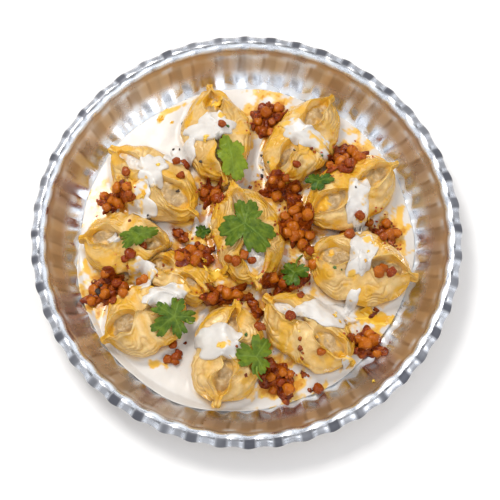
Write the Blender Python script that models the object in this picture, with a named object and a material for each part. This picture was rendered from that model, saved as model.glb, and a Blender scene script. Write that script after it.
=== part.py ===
"""Eleven manti dumplings on yogurt, with spiced split peas and coriander, in a fluted steel dish.

Lengths in this file are millimetres and angles are degrees; add_object turns a finished mesh into
metres. +Z is up, +X is to the diner's right, -Y points at the diner, and the origin is the middle
of the dish's underside. Everything rests on what lies below it, a hair's breadth clear of it.
"""
import math

import bmesh
import bpy
import numpy as np
from mathutils.bvhtree import BVHTree

MM = 0.001
GAP = 0.5
SKY = 80.0
SETTLE_STEPS = 16
SETTLE_ROUNDS = 200
SETTLE_SLACK = 0.02
GOLDEN_ANGLE = math.radians(137.5)
CREASE_ANGLE = math.radians(50)

# Dish: a pressed steel round with fluted wall and rim.
DISH_RADIUS = 140.0
DISH_HEIGHT = 28.0
SHEET = 1.2
FLUTES = 48
FLOOR_RADIUS = 104.0
WALL_TOP_RADIUS = 131.6
WALL_TOP = 26.4
WALL_POWER = 1.7
FLUTE_DEPTH = 0.9
CREST_RADIUS = 135.0
RIM_EDGE_HEIGHT = 25.0
RIM_WAVE = 0.55
HEM = 0.8
FLUTE_START = 3.0
FLUTE_RUN = 12.0
WALL_STATIONS = (0.0, 0.28, 0.55, 0.8, 1.0)

# Yogurt: the level under the dumplings, and how far its edge climbs the wall.
YOGURT_LEVEL = 5.0
YOGURT_EDGE = 111.0
YOGURT_CLIMB = 4.0
YOGURT_CLIMB_SIDE = 215.0
YOGURT_SECTORS = 48
YOGURT_LIP = 0.9

# Manti: name, x, y, length, width, height, heading, lean to the left, the two eyes' half widths.
MANTI = (
    ("manti_01", -21, 71, 70, 46, 25, -81, 1.0, 5.0, 4.0),
    ("manti_02", -62, 37, 74, 44, 25, -39, 0.5, 4.0, 7.0),
    ("manti_03", -78, -6, 62, 44, 24, -7, 1.0, 6.0, 6.5),
    ("manti_04", -45, -27, 52, 36, 21, -35, 0.0, 4.5, 3.5),
    ("manti_05", -65, -56, 60, 46, 24, 31, 2.0, 7.5, 4.5),
    ("manti_06", -13, -78, 68, 48, 26, 80, -1.0, 6.0, 4.0),
    ("manti_07", 39, -64, 70, 44, 25, -38, 1.0, 4.0, 6.5),
    ("manti_08", 74, -22, 72, 50, 26, -12, 1.5, 8.0, 6.0),
    ("manti_09", 69, 31, 73, 46, 25, 32, -0.5, 7.0, 6.0),
    ("manti_10", 38, 68, 72, 43, 26, 56, 1.0, 4.0, 6.5),
    ("manti_11", 0, 1, 74, 46, 26, -76, 0.0, 5.0, 8.0),
)
MANTI_RINGS = 15
DOUGH = 2.2
TIP_THICKNESS = 2.0
TIP_LIFT = 7.0
TIP_START = 0.72
LIP_PLACES = (0.0, 0.25, 0.5, 0.8, 1.0)
LIP_LEVELS = (1.0, 0.92, 0.88, 0.74, 0.56)
WAIST_PINCH = 0.07
UNEVEN = 0.03
LIP_UNEVEN = 0.5
BEND = 2.5
EYE_START = 0.1
EYE_RUN = 0.74
EYE_DEPTH = 6.5
SLIT = 0.35
SQUEEZE_MARGIN = 0.25
SQUEEZE_SOFTNESS = 2.5

# Spoonfuls of yogurt on the manti: name, x, y, half length, half width, heading, thickness.
DOLLOPS = (
    ("yogurt_01", -24, 73, 17, 8, 5, 4.0),
    ("yogurt_02", -44, 58, 10, 8, 0, 4.0),
    ("yogurt_03", -62, 43, 11, 9, 80, 3.5),
    ("yogurt_04", -71, 24, 12, 9, -50, 4.0),
    ("yogurt_05", -33, 2, 9, 7, 10, 4.0),
    ("yogurt_06", -68, -26, 10, 8, 0, 4.0),
    ("yogurt_07", -52, -42, 14, 7, 10, 4.0),
    ("yogurt_08", -17, -73, 17, 10, -10, 4.0),
    ("yogurt_09", 50, -53, 21, 8, -5, 4.5),
    ("yogurt_10", 74, -15, 15, 8, 80, 4.0),
    ("yogurt_11", 73, 21, 17, 7, 80, 3.5),
    ("yogurt_12", 40, 66, 19, 7, -32, 3.5),
)
DOLLOP_SIDES = 11
DRAPE_SLOPE = 1.8
DRAPE_EDGE = 0.9
DRAPE_INNER = 0.6

# Heaps of spiced split peas: name, x, y, half length, half width, heading, peas that show.
HEAPS = (
    ("peas_01", 13, 87, 13, 8, 66, 6),
    ("peas_02", 66, 55, 14, 9, 40, 6),
    ("peas_03", 24, 34, 13, 7, -10, 5),
    ("peas_04", 33, 10, 17, 9, 100, 8),
    ("peas_05", 26, -28, 14, 7, 25, 6),
    ("peas_06", -24, 32, 9, 7, 100, 4),
    ("peas_07", -34, -12, 12, 8, 20, 6),
    ("peas_08", -14, -38, 13, 6, 10, 5),
    ("peas_09", -92, -34, 13, 9, 25, 6),
    ("peas_10", -87, 28, 11, 7, 20, 5),
    ("peas_11", 93, 4, 10, 7, 110, 5),
    ("peas_12", 78, -70, 11, 8, -20, 6),
    ("peas_13", 20, -93, 14, 8, -50, 7),
)
HEAP_SIDES = 10
HEAP_THICKNESS = 4.5
PEA_RADIUS = 3.7
PEA_FLATNESS = 0.9
PEA_TRIES = 3

# Coriander leaves: name, x, y, radius, stretch, heading of the middle lobe, lobes, outline points.
LEAVES = (
    ("leaf_01", -1, 4, 19.5, 0.95, 80, 3, 24),
    ("leaf_02", -10, 50, 15.0, 0.70, 100, 3, 20),
    ("leaf_03", -69, -3, 14.0, 0.50, 20, 3, 20),
    ("leaf_04", 47, 35, 10.0, 0.75, 20, 3, 16),
    ("leaf_05", 31, -24, 10.0, 0.80, 10, 3, 16),
    ("leaf_06", -46, -56, 14.0, 0.90, 60, 5, 20),
    ("leaf_07", 6, -82, 12.5, 1.00, 30, 5, 20),
    ("leaf_08", -29, 6, 6.0, 0.80, 0, 3, 12),
)
LEAF_THICKNESS = 0.6
LEAF_NOTCH = 0.42
LEAF_TOOTH = 0.9
LEAF_WAVE = 0.9
LEAF_SLOPE = 0.6

for old in list(bpy.data.objects):
    bpy.data.objects.remove(old, do_unlink=True)


def material(name, colour, roughness, metallic=0.0):
    """A Principled surface of one linear colour."""
    made = bpy.data.materials.new(name)
    made.use_nodes = True
    shader = made.node_tree.nodes["Principled BSDF"]
    shader.inputs["Base Color"].default_value = (*colour, 1.0)
    shader.inputs["Roughness"].default_value = roughness
    shader.inputs["Metallic"].default_value = metallic
    made.diffuse_color = (*colour, 1.0)
    return made


def add_object(name, points, faces, surface):
    """One named object from millimetre points, with every face turned outwards."""
    mesh = bpy.data.meshes.new(name)
    mesh.from_pydata([tuple(p) for p in np.asarray(points) * MM], [], [tuple(f) for f in faces])
    work = bmesh.new()
    work.from_mesh(mesh)
    bmesh.ops.recalc_face_normals(work, faces=work.faces)
    bmesh.ops.triangulate(work, faces=work.faces)
    if work.calc_volume(signed=True) < 0:
        bmesh.ops.reverse_faces(work, faces=work.faces)
    work.to_mesh(mesh)
    work.free()
    mesh.materials.append(surface)
    mesh.shade_smooth()
    mesh.set_sharp_from_angle(angle=CREASE_ANGLE)
    made = bpy.data.objects.new(name, mesh)
    bpy.context.scene.collection.objects.link(made)
    return made


def ring_faces(rings, around):
    """Two triangles for each cell of a grid of rings that close on themselves."""
    faces = []
    for ring in range(rings - 1):
        for step in range(around):
            a = ring * around + step
            b = ring * around + (step + 1) % around
            faces += [(a, b, b + around), (a, b + around, a + around)]
    return faces


def fan_faces(middle, start, around):
    """Triangles from one middle point to the ring of points that begins at start."""
    return [(middle, start + step, start + (step + 1) % around) for step in range(around)]


def smooth_step(value):
    """0 below 0, 1 above 1, and an S curve between."""
    t = np.clip(value, 0.0, 1.0)
    return t * t * (3.0 - 2.0 * t)


def blend(value, stations, levels):
    """Levels at the stations with S curves between them."""
    result = np.full_like(np.asarray(value, float), levels[0])
    for start, end, low, high in zip(stations, stations[1:], levels, levels[1:]):
        result += (high - low) * smooth_step((value - start) / (end - start))
    return result


def wall_height(radius):
    """Height of the dish's upper face: flat floor, then a cove that steepens up to the rim."""
    u = np.clip((radius - FLOOR_RADIUS) / (WALL_TOP_RADIUS - FLOOR_RADIUS), 0.0, 1.0)
    return SHEET + (WALL_TOP - SHEET) * u ** WALL_POWER


def make_dish(surface):
    """A profile turned about Z, its wall pushed in and out and its rim up and down by the flutes."""
    wall = [FLOOR_RADIUS + (WALL_TOP_RADIUS - FLOOR_RADIUS) * u for u in WALL_STATIONS]
    upper = [(r, float(wall_height(r))) for r in wall]
    upper += [(CREST_RADIUS, DISH_HEIGHT)]
    upper += [(DISH_RADIUS - HEM, RIM_EDGE_HEIGHT + 0.6)]
    edge = [(DISH_RADIUS - HEM, RIM_EDGE_HEIGHT - HEM)]
    under = []
    for index in range(len(upper) - 2, -1, -1):
        before = upper[max(index - 1, 0)]
        after = upper[index + 1]
        along = math.atan2(after[1] - before[1], after[0] - before[0])
        r, z = upper[index]
        under.append((r + SHEET * math.sin(along), max(z - SHEET * math.cos(along), 0.0)))
    under[-1] = (FLOOR_RADIUS - 0.4, 0.0)
    profile = upper + edge + under
    turns = np.arange(2 * FLUTES) * math.pi / FLUTES
    wave = np.cos(FLUTES * turns)
    points = []
    for r, z in profile:
        share = float(smooth_step((r - FLOOR_RADIUS - FLUTE_START) / FLUTE_RUN))
        rim = float(smooth_step((r - CREST_RADIUS) / 3.0))
        radius = r + FLUTE_DEPTH * share * (1.0 - 0.35 * rim) * wave
        height = z + RIM_WAVE * rim * wave
        points += list(zip(radius * np.cos(turns), radius * np.sin(turns), height))
    around = len(turns)
    faces = ring_faces(len(profile), around)
    top, bottom = len(points), len(points) + 1
    points += [(0.0, 0.0, SHEET), (0.0, 0.0, 0.0)]
    faces += fan_faces(top, 0, around)
    faces += fan_faces(bottom, (len(profile) - 1) * around, around)
    return add_object("dish", points, faces, surface)


def yogurt_edge(turns):
    """Radius where the pool ends: a wavy line that climbs the wall on one side."""
    side = 0.5 + 0.5 * np.cos(turns - math.radians(YOGURT_CLIMB_SIDE))
    waves = 0.9 * np.sin(3 * turns + 1.0) + 0.7 * np.sin(7 * turns) + 0.4 * np.sin(13 * turns + 2.0)
    return YOGURT_EDGE + YOGURT_CLIMB * side ** 3 + waves


def make_pool(surface):
    """The yogurt that covers the floor: flat below, following the cove, level on top."""
    turns = np.arange(YOGURT_SECTORS) * 2.0 * math.pi / YOGURT_SECTORS
    edge = yogurt_edge(turns)
    on_wall = wall_height(edge + FLUTE_DEPTH) + GAP
    lip = np.maximum(on_wall + YOGURT_LIP, YOGURT_LEVEL)
    rings = (
        (np.full_like(turns, FLOOR_RADIUS - 2.0), np.full_like(turns, SHEET + GAP)),
        (0.5 * (edge + FLOOR_RADIUS), wall_height(0.5 * (edge + FLOOR_RADIUS) + FLUTE_DEPTH) + GAP),
        (edge, on_wall),
        (edge - 2.0, lip),
        (edge - 5.5, np.full_like(turns, YOGURT_LEVEL)),
    )
    points = []
    for radius, height in rings:
        points += list(zip(radius * np.cos(turns), radius * np.sin(turns), height))
    faces = ring_faces(len(rings), YOGURT_SECTORS)
    bottom, top = len(points), len(points) + 1
    points += [(0.0, 0.0, SHEET + GAP), (0.0, 0.0, YOGURT_LEVEL)]
    faces += fan_faces(bottom, 0, YOGURT_SECTORS)
    faces += fan_faces(top, (len(rings) - 1) * YOGURT_SECTORS, YOGURT_SECTORS)
    return add_object("yogurt_pool", points, faces, surface)


def manti_surface(spec, seed):
    """Rings of a boat of dough: broad belly, pinched tips and waist, and an open eye at each end.

    Each ring runs from the middle of the underside out round the belly, in over the lip, down into
    the eye and back the same way on the other side. Returns an array of rings x points x 3.
    """
    x0, y0, length, width, height, heading, lean, eye_back, eye_front = spec[1:]
    rng = np.random.default_rng(seed)
    along = np.linspace(-1.0, 1.0, MANTI_RINGS)
    far = np.abs(along)
    belly = 0.5 * width * np.sqrt(np.clip(1.0 - (along / 0.9) ** 2, 0.0, 1.0))
    belly *= 1.0 - WAIST_PINCH * np.exp(-(along / 0.2) ** 2) + UNEVEN * rng.uniform(-1, 1, MANTI_RINGS)
    half = np.hypot(belly, TIP_THICKNESS * (1.3 - 0.3 * far))
    lip = height * blend(far, LIP_PLACES, LIP_LEVELS)
    lip += LIP_UNEVEN * rng.uniform(-1, 1, MANTI_RINGS)
    base = TIP_LIFT * smooth_step((far - TIP_START) / (1.0 - TIP_START))
    rise = lip - base
    opening = np.sin(math.pi * np.clip((far - EYE_START) / EYE_RUN, 0.0, 1.0)) ** 0.7
    eye = SLIT + np.where(along < 0.0, eye_back, eye_front) * opening
    rim = np.minimum(eye + DOUGH, 0.86 * half)
    eye = np.minimum(eye, rim - 0.8)
    floor = lip - 0.09 * rise - 0.4 - EYE_DEPTH * opening
    right = (
        (0.70 * half, base),
        (half, base + 0.27 * rise),
        (np.maximum(0.84 * half, rim), base + 0.58 * rise),
        (rim, lip - 0.06 * rise),
        (0.5 * (rim + eye), lip),
        (0.85 * eye, floor),
    )
    middle = np.zeros_like(along)
    section = [(middle, base)]
    section += list(right)
    section += [(middle, floor - 0.3 * opening)]
    section += [(-side, level) for side, level in reversed(right)]
    side = np.stack([s for s, _ in section], axis=1)
    level = np.stack([z for _, z in section], axis=1)
    bend = rng.uniform(-BEND, BEND)
    side = side + lean * level / height * 2.0 + bend * (along[:, None] ** 2 - 0.33)
    forward = np.broadcast_to(along[:, None] * 0.5 * length, side.shape)
    turn = math.radians(heading)
    x = x0 + forward * math.cos(turn) - side * math.sin(turn)
    y = y0 + forward * math.sin(turn) + side * math.cos(turn)
    return np.stack([x, y, level + YOGURT_LEVEL + GAP], axis=2)


def press_back(points, normal, limit):
    """Moves points along the normal so that none passes the limit, softly and in order."""
    reach = points[..., :2] @ normal
    start = limit - SQUEEZE_SOFTNESS
    over = np.maximum(reach - start, 0.0)
    pressed = start + SQUEEZE_SOFTNESS * (1.0 - np.exp(-over / SQUEEZE_SOFTNESS))
    shift = np.where(over > 0.0, pressed - reach, 0.0)
    points[..., :2] += shift[..., None] * normal


def squeeze_apart(shapes):
    """Flattens touching neighbours against an upright plane between them, as soft dough does."""
    directions = [np.array([math.cos(t), math.sin(t)]) for t in np.radians(np.arange(0, 360, 5))]
    for first in range(len(shapes)):
        for second in range(first + 1, len(shapes)):
            a, b = shapes[first], shapes[second]
            reaches = [(a[..., :2] @ n).max() - (b[..., :2] @ n).min() for n in directions]
            index = int(np.argmin(reaches))
            overlap = reaches[index]
            if overlap < -2.0 * SQUEEZE_MARGIN:
                continue
            normal = directions[index]
            plane = 0.5 * ((a[..., :2] @ normal).max() + (b[..., :2] @ normal).min())
            press_back(a, normal, plane - SQUEEZE_MARGIN)
            press_back(b, -normal, -plane - SQUEEZE_MARGIN)


def make_manti(name, shape, surface):
    """Closes the rings of one manti with a fan at each tip."""
    rings, around, _ = shape.shape
    points = [tuple(p) for p in shape.reshape(-1, 3)]
    faces = ring_faces(rings, around)
    for ring in (0, rings - 1):
        faces += fan_faces(len(points), ring * around, around)
        points.append(tuple(shape[ring].mean(axis=0)))
    return add_object(name, points, faces, surface)


class Ground:
    """The upper face of all that has been laid so far."""

    def __init__(self):
        self.points = []
        self.faces = []
        self.tree = None

    def add(self, made):
        start = len(self.points)
        self.points += [tuple(v.co / MM) for v in made.data.vertices]
        self.faces += [tuple(start + i for i in face.vertices) for face in made.data.polygons]
        self.tree = BVHTree.FromPolygons(self.points, self.faces)

    def height(self, places):
        """Height of the ground under each x, y place, found by looking down from the sky."""
        flat = np.asarray(places).reshape(-1, 2)
        found = np.empty(len(flat))
        for index, (x, y) in enumerate(flat):
            hit = self.tree.ray_cast((x, y, SKY), (0.0, 0.0, -1.0))
            found[index] = hit[0].z if hit[0] else 0.0
        return found.reshape(np.asarray(places).shape[:-1])

    def distance(self, point):
        """Distance from a point to the nearest face."""
        return self.tree.find_nearest(point)[3]


def sample_weights(steps):
    """Corner weights of an even grid of places inside a triangle."""
    rows = [(i, j, steps - i - j) for i in range(steps + 1) for j in range(steps + 1 - i)]
    return np.array(rows, float) / steps


def settle(places, faces, ground, gap):
    """Lowest heights of the places at which every face between them clears the ground."""
    faces = np.array(faces)
    weights = sample_weights(SETTLE_STEPS)
    samples = np.einsum("kc,tcd->tkd", weights, places[faces])
    wanted = ground.height(samples) + gap
    heights = ground.height(places) + gap
    for _ in range(SETTLE_ROUNDS):
        lack = wanted - heights[faces] @ weights.T
        worst = lack.argmax(axis=1)
        short = lack.max(axis=1)
        if short.max() < SETTLE_SLACK:
            break
        pull = weights[worst]
        lift = pull * (np.maximum(short, 0.0) / (pull ** 2).sum(axis=1))[:, None]
        raised = heights.copy()
        np.maximum.at(raised, faces, heights[faces] + lift)
        heights = raised
    return heights


def stiffen(places, heights, slope):
    """Raises what hangs steeper than the slope below any other place of the same piece."""
    apart = np.linalg.norm(places[:, None, :] - places[None, :, :], axis=2)
    return (heights[None, :] - slope * apart).max(axis=1)


def patch(x, y, half_length, half_width, heading, sides, rng):
    """A wavy oval in plan: its middle, an inner ring and its edge, with the share of the way out."""
    turns = np.arange(sides) * 2.0 * math.pi / sides
    phase = rng.uniform(0.0, 2.0 * math.pi, 2)
    outline = 1.0 + 0.10 * np.sin(2 * turns + phase[0]) + 0.08 * np.sin(3 * turns + phase[1])
    way_out = np.concatenate([[0.0], np.full(sides, DRAPE_INNER), np.full(sides, 1.0)])
    cosines = np.concatenate([[0.0], DRAPE_INNER * outline * np.cos(turns), outline * np.cos(turns)])
    sines = np.concatenate([[0.0], DRAPE_INNER * outline * np.sin(turns), outline * np.sin(turns)])
    forward = cosines * half_length
    side = sines * half_width
    turn = math.radians(heading)
    places = np.stack([x + forward * math.cos(turn) - side * math.sin(turn),
                       y + forward * math.sin(turn) + side * math.cos(turn)], axis=1)
    faces = fan_faces(0, 1, sides)
    faces += [tuple(i + 1 for i in face) for face in ring_faces(2, sides)]
    return places, way_out, faces


def two_sided(places, low, high, faces, edge):
    """A closed slab: the same triangles below and above, joined along the edge's places."""
    count = len(places)
    points = np.concatenate([np.column_stack([places, low]), np.column_stack([places, high])])
    closed = list(faces) + [tuple(i + count for i in reversed(face)) for face in faces]
    for a, b in zip(edge, edge[1:] + edge[:1]):
        closed += [(a, b, b + count), (a, b + count, a + count)]
    return points, closed


def draped(spec, sides, thickness, ground, seed):
    """A spoonful that lies on the ground: thick in the middle and thin at its wavy edge."""
    x, y, half_length, half_width, heading = spec
    rng = np.random.default_rng(seed)
    places, way_out, faces = patch(x, y, half_length, half_width, heading, sides, rng)
    low = stiffen(places, settle(places, faces, ground, GAP), DRAPE_SLOPE)
    high = low + DRAPE_EDGE + thickness * np.sqrt(1.0 - 0.97 * way_out ** 2)
    high[0] = max(high[0], high[1:sides + 1].mean() + 0.4)
    edge = list(range(sides + 1, 2 * sides + 1))
    points, closed = two_sided(places, low, high, faces, edge)
    return points, closed, places, high


def make_dollop(spec, ground, surface, seed):
    """One spoonful of yogurt, draped over what it fell on."""
    name, x, y, half_length, half_width, heading, thickness = spec
    outline = (x, y, half_length, half_width, heading)
    points, faces, _, _ = draped(outline, DOLLOP_SIDES, thickness, ground, seed)
    return add_object(name, points, faces, surface)


def pea_ball(centre, radius, turn, name):
    """One faceted pea, a ball a little flattened, as a loose object for the union."""
    work = bmesh.new()
    bmesh.ops.create_icosphere(work, subdivisions=1, radius=radius * MM)
    cosine, sine = math.cos(turn), math.sin(turn)
    for vertex in work.verts:
        x, y, z = vertex.co
        vertex.co = (x * cosine - y * sine + centre[0] * MM,
                     x * sine * PEA_FLATNESS + y * cosine + centre[1] * MM,
                     z * PEA_FLATNESS + centre[2] * MM)
    mesh = bpy.data.meshes.new(name)
    work.to_mesh(mesh)
    work.free()
    return bpy.data.objects.new(name, mesh)


def unite(base, others):
    """Fuses loose objects onto the base by one Boolean union, and removes them."""
    group = bpy.data.collections.new(base.name + "_pieces")
    bpy.context.scene.collection.children.link(group)
    for other in others:
        group.objects.link(other)
    union = base.modifiers.new("union", "BOOLEAN")
    union.operation = "UNION"
    union.operand_type = "COLLECTION"
    union.collection = group
    union.solver = "EXACT"
    fused = bpy.data.meshes.new_from_object(base.evaluated_get(bpy.context.evaluated_depsgraph_get()))
    base.modifiers.clear()
    base.data = fused
    for other in others:
        bpy.data.objects.remove(other, do_unlink=True)
    bpy.data.collections.remove(group)


def make_heap(spec, ground, surface, seed):
    """A low heap in sauce: a draped core with split peas half sunk in its top."""
    name, x, y, half_length, half_width, heading, count = spec
    outline = (x, y, half_length, half_width, heading)
    points, faces, places, high = draped(outline, HEAP_SIDES, HEAP_THICKNESS, ground, seed)
    heap = add_object(name, points, faces, surface)
    core = Ground()
    core.add(heap)
    rng = np.random.default_rng(seed + 500)
    turn = math.radians(heading)
    peas = []
    for index in range(count * PEA_TRIES):
        if len(peas) == count:
            break
        angle = index * GOLDEN_ANGLE
        way = 0.88 * math.sqrt((index + 0.4) / (count * 1.4))
        forward = way * math.cos(angle) * half_length
        side = way * math.sin(angle) * half_width
        px = x + forward * math.cos(turn) - side * math.sin(turn)
        py = y + forward * math.sin(turn) + side * math.cos(turn)
        radius = PEA_RADIUS * rng.uniform(0.88, 1.08)
        pz = float(core.height(np.array([px, py]))) + 0.15 * radius
        centre = (px, py, pz)
        if way < 1.0 and ground.distance(centre) > radius + GAP:
            label = "%s_pea_%02d" % (name, index)
            peas.append(pea_ball(centre, radius, rng.uniform(0.0, math.pi), label))
    unite(heap, peas)
    return heap


def leaf_outline(turns, lobes):
    """Radius of a coriander leaf: round lobes with deep notches, every second point drawn in."""
    outline = (1.0 - LEAF_NOTCH) + LEAF_NOTCH * np.abs(np.cos(0.5 * lobes * turns)) ** 0.8
    outline[1::2] *= LEAF_TOOTH
    return outline


def make_leaf(spec, ground, surface, seed):
    """A thin wavy sheet: its middle, a ring with half the points, and the lobed outline."""
    name, x, y, radius, stretch, heading, lobes, count = spec
    rng = np.random.default_rng(seed)
    turns = np.arange(count) * 2.0 * math.pi / count
    outer = leaf_outline(turns, lobes) * radius
    inner = outer[::2] * 0.5
    forward = np.concatenate([[0.0], inner * np.cos(turns[::2]), outer * np.cos(turns)])
    side = np.concatenate([[0.0], inner * np.sin(turns[::2]), outer * np.sin(turns)]) * stretch
    turn = math.radians(heading)
    places = np.stack([x + forward * math.cos(turn) - side * math.sin(turn),
                       y + forward * math.sin(turn) + side * math.cos(turn)], axis=1)
    half = count // 2
    faces = fan_faces(0, 1, half)
    for step in range(half):
        a, b = 1 + step, 1 + (step + 1) % half
        low, mid, high = (1 + half + (2 * step + k) % count for k in range(3))
        faces += [(a, low, mid), (a, mid, b), (b, mid, high)]
    rest = stiffen(places, settle(places, faces, ground, GAP), LEAF_SLOPE)
    wave = LEAF_WAVE * (0.5 + 0.5 * np.sin(0.35 * forward + 0.5 * side + rng.uniform(0, 6)))
    low = rest + wave
    edge = list(range(1 + half, 1 + half + count))
    points, closed = two_sided(places, low, low + LEAF_THICKNESS, faces, edge)
    return add_object(name, points, closed, surface)


def main():
    steel = material("steel", (0.62, 0.60, 0.58), 0.22, 1.0)
    yogurt = material("yogurt", (0.87, 0.85, 0.82), 0.35)
    dough = material("dough", (0.74, 0.50, 0.20), 0.38)
    peas = material("spiced_peas", (0.46, 0.07, 0.01), 0.35)
    leaf = material("coriander", (0.06, 0.17, 0.02), 0.45)
    ground = Ground()
    ground.add(make_dish(steel))
    ground.add(make_pool(yogurt))
    shapes = [manti_surface(spec, seed) for seed, spec in enumerate(MANTI)]
    squeeze_apart(shapes)
    for spec, shape in zip(MANTI, shapes):
        ground.add(make_manti(spec[0], shape, dough))
    for seed, spec in enumerate(DOLLOPS):
        ground.add(make_dollop(spec, ground, yogurt, 100 + seed))
    for seed, spec in enumerate(HEAPS):
        ground.add(make_heap(spec, ground, peas, 200 + seed))
    for seed, spec in enumerate(LEAVES):
        ground.add(make_leaf(spec, ground, leaf, 300 + seed))


main()
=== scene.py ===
"""Looks of eleven manti on yogurt, with spiced split peas and coriander, in a fluted steel dish.

Lengths are millimetres until build_piece turns them into metres. +Z is up, the photo's lower edge
is towards -Y, and the origin is the middle of the dish's underside, as in the frame. Nearly every
shape is a row of rings closed by a pole at each end, worked out as whole arrays.
"""
import math

import bpy
import numpy as np
from mathutils import Matrix, Vector


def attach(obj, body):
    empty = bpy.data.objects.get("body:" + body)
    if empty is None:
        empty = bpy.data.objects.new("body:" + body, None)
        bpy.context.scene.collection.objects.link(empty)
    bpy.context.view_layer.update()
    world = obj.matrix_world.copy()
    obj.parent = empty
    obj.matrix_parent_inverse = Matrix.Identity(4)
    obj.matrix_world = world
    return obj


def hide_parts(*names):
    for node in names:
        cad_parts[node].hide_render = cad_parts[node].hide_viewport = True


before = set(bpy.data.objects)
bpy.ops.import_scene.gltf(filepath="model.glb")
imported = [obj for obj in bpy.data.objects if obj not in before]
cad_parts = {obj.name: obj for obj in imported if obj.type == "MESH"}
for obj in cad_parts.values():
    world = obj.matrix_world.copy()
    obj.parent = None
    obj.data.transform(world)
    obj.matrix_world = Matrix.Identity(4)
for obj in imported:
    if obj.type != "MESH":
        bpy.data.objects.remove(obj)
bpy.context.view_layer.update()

BODY = "root"
MM = 0.001
TAU = 2.0 * math.pi

# Camera, fitted to the rim's ellipse and the floor's size in the 500 x 500 photograph.
PHOTO_SIZE = 500
LENS_PIXELS = 1161.7
CAMERA_DISTANCE = 750.0
CAMERA_TILT = math.radians(17.5)
RIM_CENTRE_PIXEL = (246.8, 230.4)
SENSOR = 36.0

# Millimetres on the dish that one pixel covers.
PIXEL_SIZE = CAMERA_DISTANCE / LENS_PIXELS

# Dish: the sheet's radii and heights, its flutes, and the blocks pressed into its rim.
DISH_RADIUS = 140.0
DISH_HEIGHT = 28.0
SHEET = 1.2
FLUTES = 48
POINTS_PER_FLUTE = 16
FLOOR_RADIUS = 104.0
WALL_TOP_RADIUS = 131.6
WALL_TOP = 26.4
WALL_POWER = 1.85
FLUTE_START = 107.0
FLUTE_FULL = 111.0
FLUTE_DEPTH = 1.4
BEAD_RADIUS = 128.0
LIP_SWELL_RADIUS = 132.6
RIM_START = 133.0
RIM_EDGE_HEIGHT = 25.0
LIP_RADIUS = 135.3
LIP_HEIGHT = 28.9
BLOCK_START = -0.6

# Where the dish's painted reflections, highlights and shade lie, by radius, and the side that its painted
# gleams are brightest on.
COVE_BAND = (108.5, 115.0)
SLATE_RADIUS = 116.5
GLEAM_RADIUS = 118.0
PANEL_BAND = (119.0, 130.0)
PANEL_MIDDLE = 124.0
WARM_LINE_RADIUS = 129.9
TOP_BAND = (130.2, 134.0)
DARK_BLOCK_START = 131.9
DULL_BLOCK_START = 133.4
RIM_LOWEST = 20.0
LIT_FROM = math.radians(130.0)

# The same in metres, for the steel's nodes: where each tone begins and is full. The warm wall is a painted
# reflection.
WARM_WALL_START = (0.117, 0.123)
WARM_WALL_END = (0.1298, 0.1308)
ABOVE_FLOOR = (0.0035, 0.006)
UPPER_WALL = (0.112, 0.124)

# Yogurt: the pool's level, its edge, and the side on which it climbs the wall.
YOGURT_LEVEL = 5.0
YOGURT_EDGE = 110.0
YOGURT_CLIMB = 6.5
YOGURT_CLIMB_SIDE = math.radians(228.0)
SOAKED_RADIUS = 66.0
POOL_POINTS = 420
REST_GAP = 0.5

# Manti: name, x, y, length, width, height, heading, lean to the left, the two eyes' half widths.
MANTI = (
    ("manti_01", -21, 71, 70, 46, 25, -81, 1.0, 5.0, 4.0),
    ("manti_02", -62, 37, 74, 44, 25, -39, 0.5, 4.0, 7.0),
    ("manti_03", -78, -6, 62, 44, 24, -7, 1.0, 6.0, 6.5),
    ("manti_04", -45, -27, 52, 36, 21, -35, 0.0, 4.5, 3.5),
    ("manti_05", -65, -56, 60, 46, 24, 31, 2.0, 7.5, 4.5),
    ("manti_06", -13, -78, 68, 48, 26, 80, -1.0, 6.0, 4.0),
    ("manti_07", 39, -64, 70, 44, 25, -38, 1.0, 4.0, 6.5),
    ("manti_08", 74, -22, 72, 50, 26, -12, 1.5, 8.0, 6.0),
    ("manti_09", 69, 31, 73, 46, 25, 32, -0.5, 7.0, 6.0),
    ("manti_10", 38, 68, 72, 43, 26, 56, 1.0, 4.0, 6.5),
    ("manti_11", 0, 1, 74, 46, 26, -76, 0.0, 5.0, 8.0),
)

# Manti's mesh: rings of the form and fine rings, and the round cap on each tip. A section has
# SECTION_POINTS points, FINE times as many in the mesh; LIP_POINTS are each lip's outer and upper one.
FORM_RINGS = 15
INNER_RINGS = 139
CAP_RINGS = 6
CAP_LENGTH = 0.05
CAP_CLOSING = 0.985
SECTION_POINTS = 14
FINE = 8
LIP_POINTS = ((4, 5), (10, 9))
LIP_STATION = 4.9

# Manti's dough and eyes. EYE_MIDDLE and EYE_REACH are shares of the half length.
DOUGH = 2.2
TIP_THICKNESS = 2.0
TIP_LIFT = 7.0
SLIT = 0.35
LIP_ROLL = 0.3
EYE_DEPTH = 6.5
EYE_SHARE = 0.8
EYE_MIDDLE = 0.47
EYE_REACH = 0.33
EYE_ROWS = 16
EYE_POINTS = 48

# How deep below the lips the filling lies, and the eyes that yogurt has run into: manti and end.
FILLING_DEPTH = 5.2
YOGURT_DEPTH = 3.6
YOGURT_EYES = (("manti_02", -1.0), ("manti_07", -1.0), ("manti_11", 1.0))

# Where two manti press on each other: the gap left to the plane between them, and how softly.
SQUEEZE_MARGIN = 0.25
SQUEEZE_SOFTNESS = 2.5

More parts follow.
